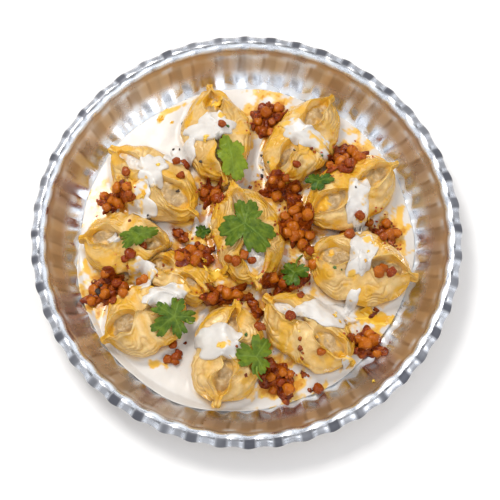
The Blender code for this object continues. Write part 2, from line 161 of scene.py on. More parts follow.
# Spoonfuls of yogurt: name, x, y, half length, half width, heading, thickness.
DOLLOPS = (
    ("yogurt_01", -24, 73, 17, 8, 5, 4.0),
    ("yogurt_02", -44, 58, 10, 8, 0, 4.0),
    ("yogurt_03", -62, 43, 11, 9, 80, 3.5),
    ("yogurt_04", -71, 24, 12, 9, -50, 4.0),
    ("yogurt_05", -33, 2, 9, 7, 10, 4.0),
    ("yogurt_06", -68, -26, 10, 8, 0, 4.0),
    ("yogurt_07", -52, -42, 14, 7, 10, 4.0),
    ("yogurt_08", -17, -73, 17, 10, -10, 4.0),
    ("yogurt_09", 50, -53, 21, 8, -5, 4.5),
    ("yogurt_10", 74, -15, 15, 8, 80, 4.0),
    ("yogurt_11", 73, 21, 17, 7, 80, 3.5),
    ("yogurt_12", 40, 66, 19, 7, -32, 3.5),
)

# Small drips of yogurt by photo pixel: x, y, height, half length and width in millimetres, heading.
DRIPS = (
    (114, 239, 24, 4.2, 3.4, 20), (352, 300, 16, 8.0, 3.4, 62), (346, 363, 12, 3.6, 2.6, 30),
    (362, 262, 26, 6.5, 3.0, 85), (330, 142, 26, 5.5, 2.6, -35),
)

# Heaps of split peas: name, x, y, half length, half width, heading, share of dark red peas.
HEAPS = (
    ("peas_01", 13, 87, 13, 8, 66, 0.7),
    ("peas_02", 66, 55, 14, 9, 40, 0.6),
    ("peas_03", 24, 34, 13, 7, -10, 0.4),
    ("peas_04", 33, 10, 17, 9, 100, 0.2),
    ("peas_05", 26, -28, 14, 7, 25, 0.8),
    ("peas_06", -24, 32, 9, 7, 100, 0.9),
    ("peas_07", -34, -12, 12, 8, 20, 0.6),
    ("peas_08", -14, -38, 13, 6, 10, 0.5),
    ("peas_09", -92, -34, 13, 9, 25, 0.5),
    ("peas_10", -87, 28, 11, 7, 20, 0.4),
    ("peas_11", 93, 4, 10, 7, 110, 0.7),
    ("peas_12", 78, -70, 11, 8, -20, 0.5),
    ("peas_13", 20, -93, 14, 8, -50, 0.6),
)
PEA_RADIUS = 3.9
GOLDEN_ANGLE = math.radians(137.5)

# Angle between a small lump's pole and its first ring.
POLE_GAP = 0.12

# Peas and bits for each square millimetre of a heap. A heap darker than SLICE_DARK is mostly sauce.
PEAS_PER_AREA = 0.092
PEAS_LOST_TO_DARK = 0.045
BITS_PER_AREA = 0.17
SLICE_DARK = 0.85
SLICE_PEAS = 3

# Coriander leaves: name, x, y, radius, stretch, heading of the middle lobe, lobes, lightness, notch.
LEAVES = (
    ("leaf_01", -1, 4, 19.8, 0.95, 80, 3, 0.35, 0.60),
    ("leaf_02", -10, 50, 14.2, 0.84, 100, 2, 0.95, 0.30),
    ("leaf_03", -69, -3, 14.0, 0.50, 20, 3, 0.45, 0.40),
    ("leaf_04", 47, 35, 10.3, 0.75, 20, 3, 0.05, 0.60),
    ("leaf_05", 31, -24, 10.3, 0.80, 10, 3, 0.20, 0.62),
    ("leaf_06", -46, -56, 15.0, 0.90, 5, 5, 0.35, 0.70),
    ("leaf_07", 6, -82, 13.0, 1.00, 60, 3, 0.50, 0.62),
    ("leaf_08", -29, 6, 6.0, 0.80, 0, 3, 0.05, 0.40),
)
LEAF_SLOPE = 0.6
LARGE_LEAF = 12.0
LARGE_LEAF_POINTS = 288
SMALL_LEAF_POINTS = 180
LEAF_ROWS = 22

# Where the coriander stalks start and end, by photo pixel: x, y, height.
STALKS = (
    ((257, 366, 26), (262, 383, 12)),
    ((297, 263, 18), (303, 252, 12)),
    ((186, 318, 24), (193, 322, 20)),
)
STALK_RADIUS = 0.75
STALK_RINGS = 24
STALK_POINTS = 10

# Single peas by photo pixel: x, y, height they lie at, how dark red.
SINGLE_PEAS = (
    (176, 232, 10, 0.25), (183, 236, 10, 0.6), (255, 307, 11, 0.9), (309, 256, 10, 0.7),
    (172, 342, 16, 0.8), (168, 359, 7, 0.7), (175, 361, 7, 0.6), (176, 356, 8, 0.9), (143, 247, 20, 0.7),
    (131, 256, 20, 0.9), (126, 261, 18, 0.8), (140, 280, 20, 0.5), (144, 278, 20, 0.4), (125, 298, 8, 0.4),
    (290, 318, 22, 1.0), (321, 353, 20, 0.6), (378, 275, 22, 0.5),
    (389, 277, 20, 0.8), (383, 270, 22, 0.3), (313, 265, 16, 0.3), (296, 168, 18, 0.6), (271, 135, 10, 0.5),
    (264, 131, 10, 0.7), (222, 128, 26, 0.9), (176, 158, 26, 0.8), (184, 156, 26, 0.7), (181, 177, 20, 0.5),
    (229, 258, 24, 0.6), (236, 261, 24, 0.4), (244, 256, 24, 0.5), (252, 262, 22, 0.6), (129, 182, 8, 0.5),
    (104, 196, 7, 0.3), (131, 201, 10, 0.8), (360, 215, 24, 0.5), (371, 216, 22, 0.7), (349, 236, 20, 0.8),
    (345, 229, 20, 0.6), (318, 389, 7, 0.5), (255, 316, 10, 0.4), (258, 330, 10, 0.9), (178, 352, 10, 0.7),
)

# Bits of sauce that lie apart, by photo pixel: x, y, height, radius in millimetres.
SAUCE_BITS = (
    (253, 303, 8, 4.2), (257, 313, 9, 3.6), (249, 296, 8, 3.0), (178, 233, 8, 3.6), (184, 239, 8, 2.6),
    (310, 252, 8, 3.4), (262, 331, 9, 2.4), (300, 300, 8, 2.6),
    (300, 340, 22, 1.6), (300, 348, 22, 1.8), (302, 358, 20, 1.2), (304, 370, 18, 1.9), (309, 372, 18, 1.0),
    (303, 353, 22, 0.9), (294, 371, 16, 1.0), (310, 389, 9, 1.6), (379, 304, 22, 1.7), (376, 308, 22, 1.9),
    (373, 311, 20, 1.4), (384, 220, 24, 1.5), (374, 219, 26, 1.2), (312, 147, 26, 1.2), (315, 150, 26, 1.0),
    (185, 342, 8, 1.1), (250, 185, 10, 1.3), (130, 222, 20, 1.0), (163, 264, 22, 1.0), (172, 270, 20, 0.9),
    (157, 276, 20, 0.9), (237, 349, 22, 0.9), (275, 223, 24, 1.2), (277, 232, 24, 0.9), (246, 377, 16, 1.1),
)

# Oil that shows yellow, by photo pixel: x, y, height, half length and width in pixels, heading, strength.
OIL_STAINS = (
    (160, 119, 5, 6, 4, 40, 1.0), (174, 109, 5, 13, 3, 24, 0.9), (206, 101, 22, 9, 6, 0, 0.9),
    (217, 103, 24, 7, 6, 20, 1.0), (188, 124, 18, 3, 15, -10, 0.9), (221, 117, 24, 3, 4, 0, 0.9),
    (206, 138, 24, 3, 2, 0, 1.0), (158, 164, 26, 3, 2, 30, 1.0), (144, 198, 18, 3, 5, -10, 1.0),
    (135, 148, 24, 18, 4, 15, 0.6), (190, 176, 22, 4, 18, 10, 0.6), (401, 212, 12, 4, 12, -20, 0.9),
    (330, 130, 22, 7, 20, 0, 0.5), (376, 318, 7, 22, 9, -8, 1.0), (362, 334, 7, 14, 6, -10, 0.8),
    (88, 270, 8, 4, 14, 15, 0.9), (217, 274, 8, 15, 9, -10, 1.0), (280, 178, 10, 15, 7, 0, 0.9),
    (290, 195, 10, 22, 10, 20, 0.6), (159, 363, 6, 12, 4, 0, 0.9), (196, 294, 12, 12, 9, 0, 0.8),
    (320, 390, 7, 10, 7, 20, 0.8), (402, 245, 10, 7, 8, 0, 0.8), (252, 397, 6, 6, 5, 0, 0.8),
    (252, 143, 8, 3, 5, 0, 0.9), (108, 252, 22, 12, 4, -30, 0.6), (206, 90, 18, 12, 4, 10, 0.7),
    (352, 275, 24, 4, 3, 0, 0.9), (346, 284, 22, 3, 2, 0, 0.9), (221, 348, 24, 4, 3, 0, 0.9),
    (372, 195, 22, 10, 5, 30, 0.6), (352, 180, 24, 12, 4, 20, 0.5), (232, 296, 14, 8, 16, 0, 0.5),
    (255, 283, 12, 5, 8, 0, 0.8), (244, 176, 12, 10, 4, -60, 0.5), (384, 300, 14, 12, 6, 20, 0.5),
    (140, 222, 22, 3, 2, 0, 0.9), (172, 122, 5, 2, 2, 0, 1.0), (300, 320, 20, 6, 4, 0, 0.4),
    (100, 250, 20, 8, 5, 20, 0.4), (238, 352, 24, 6, 3, 30, 0.4), (150, 240, 20, 8, 4, 0, 0.5),
)

# A stain at least this strong also carries a thin pool of oil.
POOL_STRENGTH = 0.95

# Stains round each heap: shares of its half length and half width, and strength. Round each single
# pea: radius in millimetres and strength.
HEAP_OIL = (1.7, 2.1, 0.85)
HEAP_SAUCE = (1.25, 1.4, 0.95)
PEA_SAUCE = (5.0, 0.5)

# Drops of oil by photo pixel: x, y, height, radius in millimetres.
OIL_DROPS = (
    (362, 216, 28, 1.2), (367, 223, 28, 1.0), (371, 213, 28, 1.0), (358, 214, 28, 1.2), (365, 234, 26, 0.9),
    (373, 243, 24, 1.3), (368, 252, 26, 1.0), (365, 262, 28, 1.1), (317, 337, 24, 1.3), (299, 332, 24, 0.9),
    (347, 317, 20, 0.9), (335, 316, 20, 1.4), (340, 322, 20, 1.0), (322, 155, 28, 1.0), (158, 164, 28, 1.2),
    (262, 161, 8, 1.0), (258, 174, 8, 1.3), (212, 282, 8, 1.6), (205, 262, 8, 1.4), (219, 347, 28, 1.2),
    (205, 139, 26, 1.4), (236, 256, 26, 0.9), (257, 282, 12, 1.3), (262, 396, 7, 1.2), (372, 383, 9, 1.0),
)

# Pepper by photo pixel: x, y, height. The first is a large black bit with its own half width.
PEPPER = (
    (98, 291, 13), (262, 154, 9), (294, 154, 24), (201, 163, 18), (147, 212, 24), (262, 174, 9),
    (179, 146, 14), (172, 142, 20), (263, 168, 9), (101, 285, 12), (182, 119, 14), (178, 193, 18),
    (355, 190, 26),
)
BLACK_BIT = 3.0

# Chilli flakes strewn round the heaps, and how far out on the dish they may lie.
FLAKES = 260
FLAKES_REACH = 105.0

# Bits of herb by photo pixel: x, y, height.
HERBS = (
    (322, 156, 20), (296, 264, 16), (338, 268, 20), (334, 271, 20), (200, 224, 12), (206, 230, 12),
    (330, 265, 20), (268, 168, 9), (341, 272, 20), (228, 130, 22), (246, 336, 24), (163, 322, 20),
)

# Colours of the finishes and of the room, as linear red, green and blue
STEEL = (0.76, 0.77, 0.80)
# painted warm reflection on the wall
STEEL_WARM_REFLECTION = (0.52, 0.352, 0.195)
# painted brown reflection in the flutes' panels
STEEL_BROWN_REFLECTION = (0.28, 0.17, 0.085)
# painted highlight and pale reflection
STEEL_PAINTED_HIGHLIGHT = (0.74, 0.79, 0.85)
# painted shade and dark reflection
STEEL_SHADE_AND_DARK_REFLECTION = (0.085, 0.088, 0.105)
DOUGH_TAN = (0.61, 0.375, 0.105)
DOUGH_LIGHT = (0.82, 0.585, 0.25)
# painted shade inside the eyes and creases
DOUGH_PAINTED_SHADE = (0.44, 0.27, 0.09)
DOUGH_FLOURY = (0.82, 0.62, 0.34)
# painted highlight on the lips and ridges
DOUGH_LIP_HIGHLIGHT = (0.90, 0.62, 0.18)
# painted shade in the valleys between thin layers
DOUGH_CREASE_SHADE = (0.50, 0.26, 0.045)
DOUGH_OIL = (0.71, 0.375, 0.012)
DOUGH_SAUCE = (0.48, 0.12, 0.006)
YOGURT_GREY = (0.66, 0.625, 0.58)
YOGURT_WHITE = (0.735, 0.705, 0.665)
YOGURT_OIL = (0.82, 0.465, 0.014)
YOGURT_SAUCE = (0.58, 0.20, 0.012)
PEA_ORANGE = (0.46, 0.122, 0.004)
PEA_RED = (0.20, 0.022, 0.001)
# painted glints, as pale freckles
PEA_PAINTED_GLINT = (0.66, 0.26, 0.02)
PEA_CLOUD = (0.27, 0.04, 0.002)
SAUCE_DEEP = (0.11, 0.010, 0.001)
SAUCE_BRIGHT = (0.42, 0.090, 0.003)
SAUCE_DARK = (0.15, 0.014, 0.002)
SAUCE_SHRED = (0.72, 0.26, 0.04)
LEAF_DARK = (0.024, 0.075, 0.002)
LEAF_LIGHT = (0.20, 0.27, 0.014)
LEAF_VEIN = (0.20, 0.30, 0.05)
LEAF_BELOW = (0.26, 0.38, 0.16)
OIL_THIN = (0.88, 0.60, 0.08)
OIL_DEEP = (0.72, 0.36, 0.012)
FILLING_BROWN = (0.32, 0.215, 0.10)
FILLING_TAN = (0.57, 0.41, 0.21)
FILLING_WARM = (0.50, 0.34, 0.15)
FILLING_OIL = (0.78, 0.42, 0.01)
FILLING_SAUCE = (0.5, 0.13, 0.02)
WALL_BRIGHT = (1.35, 1.41, 1.50)
WALL_GAP = (0.25, 0.27, 0.32)
LOW_DARK = (0.36, 0.30, 0.23)
LOW_WARM = (0.80, 0.64, 0.48)
CEILING_DIM = (0.20, 0.21, 0.23)
ROOM_EVEN = (0.85, 0.84, 0.84)
ROOM_SEEN = (1.3, 1.3, 1.3)
FLOOR_LOW = (0.90, 0.90, 0.90)
FLOOR_HIGH = (0.92, 0.92, 0.92)
PEPPER_COLOURS = ((0.01, 0.008, 0.006), (0.05, 0.03, 0.02))
HERB_COLOURS = ((0.03, 0.09, 0.01), (0.08, 0.18, 0.03))
FLAKE_COLOURS = ((0.30, 0.02, 0.005), (0.55, 0.10, 0.01))

# Soft square lights: name, place in metres, side, power, colour.
LIGHTS = (
    ("key", (-0.35, 0.45, 0.95), 0.35, 7.6, (1.0, 0.98, 0.95)),
    ("fill", (0.7, -0.5, 0.9), 0.9, 3.5, (0.95, 0.97, 1.0)),
)
ROOM_STRENGTH = 0.86
FLOOR_REACH = 6.0
FLOOR_DROP = 0.0003


def camera_axes():
    """Turn of the camera: tilted from straight down, then aimed so that the rim lands off centre."""
    off_x = (RIM_CENTRE_PIXEL[0] - PHOTO_SIZE / 2) / LENS_PIXELS
    off_y = (PHOTO_SIZE / 2 - RIM_CENTRE_PIXEL[1]) / LENS_PIXELS
    tilt = Matrix.Rotation(CAMERA_TILT, 3, "X")
    pitch = Matrix.Rotation(-math.atan(off_y), 3, "X")
    yaw = Matrix.Rotation(math.atan(off_x), 3, "Y")
    return tilt @ pitch @ yaw


def camera_place():
    """Where the camera stands, in millimetres."""
    back = Vector((0.0, -math.sin(CAMERA_TILT), math.cos(CAMERA_TILT)))
    return Vector((0.0, 0.0, DISH_HEIGHT)) + CAMERA_DISTANCE * back


def photo_place(x, y, height):
    """The x, y on the dish, in millimetres, of a photo pixel that lies at a height."""
    right, up = x - PHOTO_SIZE / 2, PHOTO_SIZE / 2 - y
    ray = camera_axes() @ Vector((right / LENS_PIXELS, up / LENS_PIXELS, -1.0))
    start = camera_place()
    reach = (height - start.z) / ray.z
    return start.x + reach * ray.x, start.y + reach * ray.y


def smooth_step(value):
    """0 below 0, 1 above 1, and an S curve between."""
    t = np.clip(value, 0.0, 1.0)
    return t * t * (3.0 - 2.0 * t)


def blend(value, stations, levels):
    """Levels at the stations with S curves between them."""
    result = np.full_like(np.asarray(value, float), levels[0])
    for start, end, low, high in zip(stations, stations[1:], levels, levels[1:]):
        result = result + (high - low) * smooth_step((value - start) / (end - start))
    return result


def hill(value, middle, width):
    """1 at the middle, falling smoothly to nothing on both sides."""
    return np.exp(-((value - middle) / width) ** 2)


def band(value, low, high, soft):
    """1 between low and high, with soft ends inside them."""
    return smooth_step((value - low) / soft) * smooth_step((high - value) / soft)


def circle(count):
    """The angles of a ring's points, as one row."""
    return (np.arange(count) * TAU / count)[None, :]


def ripple(points, size, seed, waves=12):
    """Soft noise of unit strength: sine waves of about one size, each in its own direction."""
    rng = np.random.default_rng(seed)
    heading = rng.normal(size=(waves, points.shape[-1]))
    heading /= np.linalg.norm(heading, axis=1, keepdims=True)
    pitch = TAU / (size * rng.uniform(0.7, 1.5, (waves, 1)))
    phase = rng.uniform(0.0, TAU, waves)
    return np.sin(points @ (heading * pitch).T + phase).sum(axis=-1) * math.sqrt(2.0 / waves)


def turned(forward, side, heading, x, y):
    """Carries forward and side offsets to x and y, turned by the heading in degrees."""
    turn = math.radians(heading)
    return (x + forward * math.cos(turn) - side * math.sin(turn),
            y + forward * math.sin(turn) + side * math.cos(turn))


def in_oval(spec, way, angle):
    """The place a share of the way out from an oval's middle to its edge, at an angle."""
    x, y, half_length, half_width, heading = spec
    return turned(way * math.cos(angle) * half_length, way * math.sin(angle) * half_width, heading, x, y)


def normals_of(rings):
    """Unit normals of a grid of closed rings, from the differences between neighbours."""
    along = np.gradient(rings, axis=0)
    around = np.roll(rings, -1, axis=1) - np.roll(rings, 1, axis=1)
    normal = np.cross(along, around)
    normal /= np.maximum(np.linalg.norm(normal, axis=2, keepdims=True), 1e-9)
    outward = rings - rings.mean(axis=1, keepdims=True)
    return normal if (normal * outward).sum() > 0 else -normal


class Piece:
    """Gathers rows of rings into one closed mesh, with named values at each point."""

    def __init__(self, name):
        self.name = name
        self.points = []
        self.quads = []
        self.triangles = []
        self.values = []
        self.count = 0

    def add(self, rings, **values):
        """Adds rings, an array of rows x around x 3, with a pole in the middle of each end."""
        rows, around, _ = rings.shape
        index = np.arange(rows * around).reshape(rows, around) + self.count
        beside = np.roll(index, -1, axis=1)
        quads = np.stack([index[:-1], beside[:-1], beside[1:], index[1:]], axis=-1).reshape(-1, 4)
        first = self.count + rows * around
        start = np.stack([np.full(around, first), beside[0], index[0]], axis=-1)
        end = np.stack([np.full(around, first + 1), index[-1], beside[-1]], axis=-1)
        triangles = np.concatenate([start, end])
        poles = rings[[0, -1]].mean(axis=1)
        points = np.concatenate([rings.reshape(-1, 3), poles])
        corners = points[np.concatenate([quads[:, :3], quads[:, [0, 2, 3]], triangles]) - self.count]
        volume = np.einsum("ij,ij->", corners[:, 0], np.cross(corners[:, 1], corners[:, 2]))
        if volume < 0.0:
            quads = quads[:, ::-1]
            triangles = triangles[:, ::-1]
        self.points.append(points)
        self.quads.append(quads)
        self.triangles.append(triangles)
        self.count += len(points)
        flat = {}
        for key, value in values.items():
            value = np.broadcast_to(np.asarray(value, float), (rows, around))
            flat[key] = np.concatenate([value.reshape(-1), value[[0, -1]].mean(axis=1)])
        self.values.append(flat)


def build_piece(piece, material, replaced=()):
    """Turns a gathered piece into an object that rides on the dish and stands for CAD nodes."""
    points = np.concatenate(piece.points) * MM
    quads = np.concatenate(piece.quads)
    triangles = np.concatenate(piece.triangles)
    mesh = bpy.data.meshes.new(piece.name)
    mesh.vertices.add(len(points))
    mesh.vertices.foreach_set("co", points.astype(np.float32).ravel())
    corners = np.concatenate([quads.ravel(), triangles.ravel()])
    mesh.loops.add(len(corners))
    mesh.loops.foreach_set("vertex_index", corners.astype(np.int32))
    starts = np.concatenate([np.arange(len(quads)) * 4, quads.size + np.arange(len(triangles)) * 3])
    mesh.polygons.add(len(starts))
    mesh.polygons.foreach_set("loop_start", starts.astype(np.int32))
    mesh.polygons.foreach_set("use_smooth", np.ones(len(starts), bool))
    mesh.update(calc_edges=True)
    for key in piece.values[0]:
        column = np.concatenate([v[key] for v in piece.values]).astype(np.float32)
        mesh.attributes.new(key, "FLOAT", "POINT").data.foreach_set("value", column)
    mesh.materials.append(material)
    made = bpy.data.objects.new(piece.name, mesh)
    bpy.context.scene.collection.objects.link(made)
    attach(made, BODY)
    if replaced:
        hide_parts(*replaced)


class Relief:
    """Height of the upper face of all that has been laid, on a square grid of fine cells: top as
    it is, soft blurred over small dips, and fine just clear of every peak."""

    CELL = 0.5
    HALF = 141.0

    def __init__(self):
        size = int(2 * self.HALF / self.CELL) + 1
        self.top = np.zeros((size, size))
        self.soft = self.top
        self.fine = self.top

    def lay(self, rings, steps=3):
        """Raises the relief to a surface: points are added between its neighbours, each cell keeps
        its highest one, and cells that most of their neighbours stand above are closed."""
        share = np.arange(steps) / steps
        beside = np.roll(rings, -1, axis=1)
        across = rings[:, :, None] + (beside - rings)[:, :, None] * share[None, None, :, None]
        across = across.reshape(len(rings), -1, 3)
        dense = across[:-1, None] + (across[1:] - across[:-1])[:, None] * share[None, :, None, None]
        dense = dense.reshape(-1, 3)
        cell = np.rint((dense[:, :2] + self.HALF) / self.CELL).astype(int)
        cell = np.clip(cell, 2, len(self.top) - 3)
        low = cell.min(axis=0) - 2
        high = cell.max(axis=0) + 3
        found = np.full(high - low, -1.0)
        np.maximum.at(found, tuple((cell - low).T), dense[:, 2])
        moves = [(i, j) for i in (-1, 0, 1) for j in (-1, 0, 1) if i or j]
        for _ in range(2):
            near = np.sort(np.stack([np.roll(found, move, axis=(0, 1)) for move in moves]), axis=0)
            holes = (near[3] >= 0.0) & (found < near[3] - 1.0)
            found[holes] = near[4][holes]
        part = self.top[low[0]:high[0], low[1]:high[1]]
        np.maximum(part, found, out=part)

    def at(self, x, y, field=None):
        """Height at each x, y, between the four nearest cells."""
        field = self.top if field is None else field
        u = np.clip((np.asarray(x) + self.HALF) / self.CELL, 0, len(field) - 2)
        v = np.clip((np.asarray(y) + self.HALF) / self.CELL, 0, len(field) - 2)
        i, j = u.astype(int), v.astype(int)
        s, t = u - i, v - j
        low = field[i, j] * (1 - s) + field[i + 1, j] * s
        high = field[i, j + 1] * (1 - s) + field[i + 1, j + 1] * s
        return low * (1 - t) + high * t

    def soften(self, millimetres):
        """Works out the two smoothed copies, soft and fine, from what lies there by now."""
        self.soft = blur(self.top, int(millimetres / self.CELL))
        peaks = self.top
        for axis in (0, 1):
            for move in (-1, 1):
                peaks = np.maximum(peaks, np.roll(peaks, move, axis=axis))
        self.fine = blur(peaks, 1, 1)


def blur(field, cells, passes=3):
    """Mean over a square of cells, a few times over, from running sums along each side."""
    width = 2 * cells + 1
    for _ in range(passes):
        for axis in (0, 1):
            padded = np.concatenate([np.repeat(np.take(field, [0], axis), cells + 1, axis), field,
                                     np.repeat(np.take(field, [-1], axis), cells, axis)], axis)
            total = np.cumsum(padded, axis=axis)
            size = field.shape[axis]
            field = (np.take(total, np.arange(width, width + size), axis)
                     - np.take(total, np.arange(size), axis)) / width
    return field


def stain_mask(points, kind):
    """How strongly oil, or red sauce round the heaps, colours each point: ragged ovals in plan."""
    mask = np.zeros(points.shape[:-1])
    ragged = 0.28 * ripple(points, 9.0, 71) + 0.14 * ripple(points, 3.5, 72)
    if kind == "oil":
        longer, wider, strong = HEAP_OIL
        spots = [(*photo_place(px, py, height), a * PIXEL_SIZE, b * PIXEL_SIZE, heading, strength)
                 for px, py, height, a, b, heading, strength in OIL_STAINS]
    else:
        longer, wider, strong = HEAP_SAUCE
        radius, faint = PEA_SAUCE
        spots = [(*photo_place(px, py, height), radius, radius, 0, faint)
                 for px, py, height, _ in SINGLE_PEAS]
    spots += [(x, y, longer * a, wider * b, heading, strong) for _, x, y, a, b, heading, _ in HEAPS]
    for x, y, half_length, half_width, heading, strength in spots:
        turn = math.radians(heading)
        dx, dy = points[..., 0] - x, points[..., 1] - y
        forward = (dx * math.cos(turn) + dy * math.sin(turn)) / half_length
        side = (dy * math.cos(turn) - dx * math.sin(turn)) / half_width
        reach = np.hypot(forward, side) + ragged
        mask = np.maximum(mask, strength * smooth_step((1.3 - reach) / 0.7))
    return mask


def wall_height(radius):
    """Height of the dish's upper face: flat floor, then a cove that steepens up to the rim."""
    u = np.clip((radius - FLOOR_RADIUS) / (WALL_TOP_RADIUS - FLOOR_RADIUS), 0.0, 1.0)
    return SHEET + (WALL_TOP - SHEET) * u ** WALL_POWER


def flute_wave(turns):
    """1 at the crease between two flutes and -1 on the broad round back of each flute."""
    return 1.0 - 2.0 * (np.sin(0.5 * FLUTES * turns) ** 2 + 0.02) ** 0.75


def dish_profile():
    """Radius and height along the sheet: floor, cove, curled lip, hem, and back underneath."""
    floor = np.linspace(4.0, FLOOR_RADIUS - 2.0, 7)
    wall = np.linspace(FLOOR_RADIUS, WALL_TOP_RADIUS, 34)
    t = np.linspace(0.0, 1.0, 18)[1:]
    lip_r = (1 - t) ** 2 * WALL_TOP_RADIUS + 2 * t * (1 - t) * LIP_RADIUS + t ** 2 * (DISH_RADIUS - 0.9)
    lip_z = (1 - t) ** 2 * WALL_TOP + 2 * t * (1 - t) * LIP_HEIGHT + t ** 2 * (RIM_EDGE_HEIGHT + 0.5)
    upper = np.stack([np.concatenate([floor, wall, lip_r]),
                      np.concatenate([np.full_like(floor, SHEET), wall_height(wall), lip_z])], axis=1)
    slope = np.gradient(upper, axis=0)
    slope /= np.linalg.norm(slope, axis=1, keepdims=True)
    under = upper + SHEET * np.stack([slope[:, 1], -slope[:, 0]], axis=1)
    under[:, 1] = np.maximum(under[:, 1], 0.0)
    middle = 0.5 * (upper[-1] + under[-1])
    start = math.atan2(*(upper[-1] - middle)[::-1])
    turns = start - np.linspace(0.0, math.pi, 8)[1:-1]
    hem = middle + 0.5 * SHEET * np.stack([np.cos(turns), np.sin(turns)], axis=1)
    return np.concatenate([upper, hem, under[::-2]])


def rim_block(turns):
    """1 in the middle of each of the rim's pressed blocks and -1 between two of them."""
    return np.cos(FLUTES * turns + BLOCK_START)


def dish_tones(radius, height, turns):
    """Three values painted on the sheet, each a band of radius times a wave that follows the flutes.
    The first is painted darkness: dark reflections on the rim's blocks, a faint darkening of the rim,
    and painted shade on each flute's shaded side. The second is painted highlight and pale reflection:
    a gleam on each flute, the cove, dashes on the bead, and the band round the lip. The third is a
    painted brown reflection: a panel and a line in each flute, which lean a little, and a line under
    the lip. vary and drift change slowly round the dish, so that no two flutes are alike."""
    above = height > SHEET + 0.5
    block = rim_block(turns)
    edge = np.stack([np.cos(turns), np.sin(turns)], axis=-1) * WALL_TOP_RADIUS
    vary, drift = (smooth_step(0.6 + 0.35 * ripple(edge, 30.0, seed)) for seed in (501, 502))

    # Painted darkness: dark reflections on the rim's blocks, a grey between them, a faint darkening of the
    # whole rim, and painted shade on each flute's shaded side.
    rim = smooth_step((radius - RIM_START) / 3.0)
    dark = smooth_step((radius - DARK_BLOCK_START) / 2.0) * smooth_step((block - 0.15 + 0.5 * vary) / 0.9)
    dull = smooth_step((radius - DULL_BLOCK_START) / 1.2) * smooth_step((-block - 0.3) / 0.6)
    dull = dull * (0.25 + 0.3 * vary)
    shaded_side = smooth_step(np.cos(FLUTES * turns + 1.0 + 0.5 * vary))
    flute_shade = hill(radius, SLATE_RADIUS + drift, 2.0) * shaded_side * drift
    on_rim = (dark * (0.7 + 0.3 * drift) + dull + 0.12 * rim) * (height > RIM_LOWEST)
    shade_and_dark_reflection = np.minimum(above * (on_rim + 0.6 * flute_shade), 1.0)

    # Painted highlights and pale reflections: a gleam on each flute, brighter on the lit side, the cove,
    # dashes on the bead and the band round the lip.
    lit = 0.6 + 0.4 * smooth_step(0.6 + 0.6 * np.cos(turns - LIT_FROM))
    lit_side = smooth_step(np.cos(FLUTES * turns - 1.3))
    gleam = hill(radius, GLEAM_RADIUS + vary, 2.6) * lit_side * (0.3 + 0.7 * vary) * lit
    cove = band(radius, *COVE_BAND, 2.0) * (0.6 + 0.3 * drift)
    dash = hill(radius, BEAD_RADIUS, 0.7) * smooth_step(np.cos(FLUTES * turns - 2.2) + 0.4) * vary
    top = band(radius, *TOP_BAND, 0.7) * (0.5 - 0.3 * block)
    painted_highlight = above * np.maximum.reduce([0.8 * gleam, cove, 0.8 * dash, top])

    # Painted brown reflections: a panel and a line in each flute, and a line under the lip.
    arch = FLUTES * turns + 0.05 * (radius - PANEL_MIDDLE)
    panel = 0.7 * smooth_step((np.cos(arch) + 0.1) / 0.5) * (0.4 + 0.6 * drift)
    line = smooth_step((np.cos(arch - 1.9) - 0.84) / 0.14) * (0.7 + 0.3 * vary)
    warm_reflection = band(radius, *PANEL_BAND, 4.0) * np.maximum(panel, line)
    brown_reflection = above * np.maximum(warm_reflection, 0.7 * hill(radius, WARM_LINE_RADIUS, 0.7))
    return {"shade_and_dark_reflection": shade_and_dark_reflection, "painted_highlight": painted_highlight, "brown_reflection": brown_reflection}


def make_dish(material):
    """The profile turned about Z. Each flute pushes the wall out, most at its foot and less towards
    the lip. The lip and the rim swell with every block, the rim dips there, and the bead stands out."""
    profile = dish_profile()
    turns = circle(FLUTES * POINTS_PER_FLUTE)
    radius, height = profile[:, :1], profile[:, 1:]
    tones = dish_tones(radius, height, turns)
    fading = 1.0 - 0.78 * smooth_step((radius - FLUTE_FULL) / 11.0)
    flute = smooth_step((radius - FLUTE_START) / 4.0) * fading
    rim = smooth_step((radius - RIM_START) / 3.0)
    block = rim_block(turns)
    swell = (0.7 * hill(radius, LIP_SWELL_RADIUS, 1.6) + 0.35 * rim) * block
    bead = 0.35 * hill(radius, BEAD_RADIUS, 0.9)
    radius = radius + FLUTE_DEPTH * flute * flute_wave(turns) + swell + bead
    height = height - 0.4 * rim * block
    rings = np.stack([radius * np.cos(turns), radius * np.sin(turns), height], axis=2)
    dish = Piece("fluted_dish")
    dish.add(rings, **tones)
    build_piece(dish, material, ["dish"])
    return rings


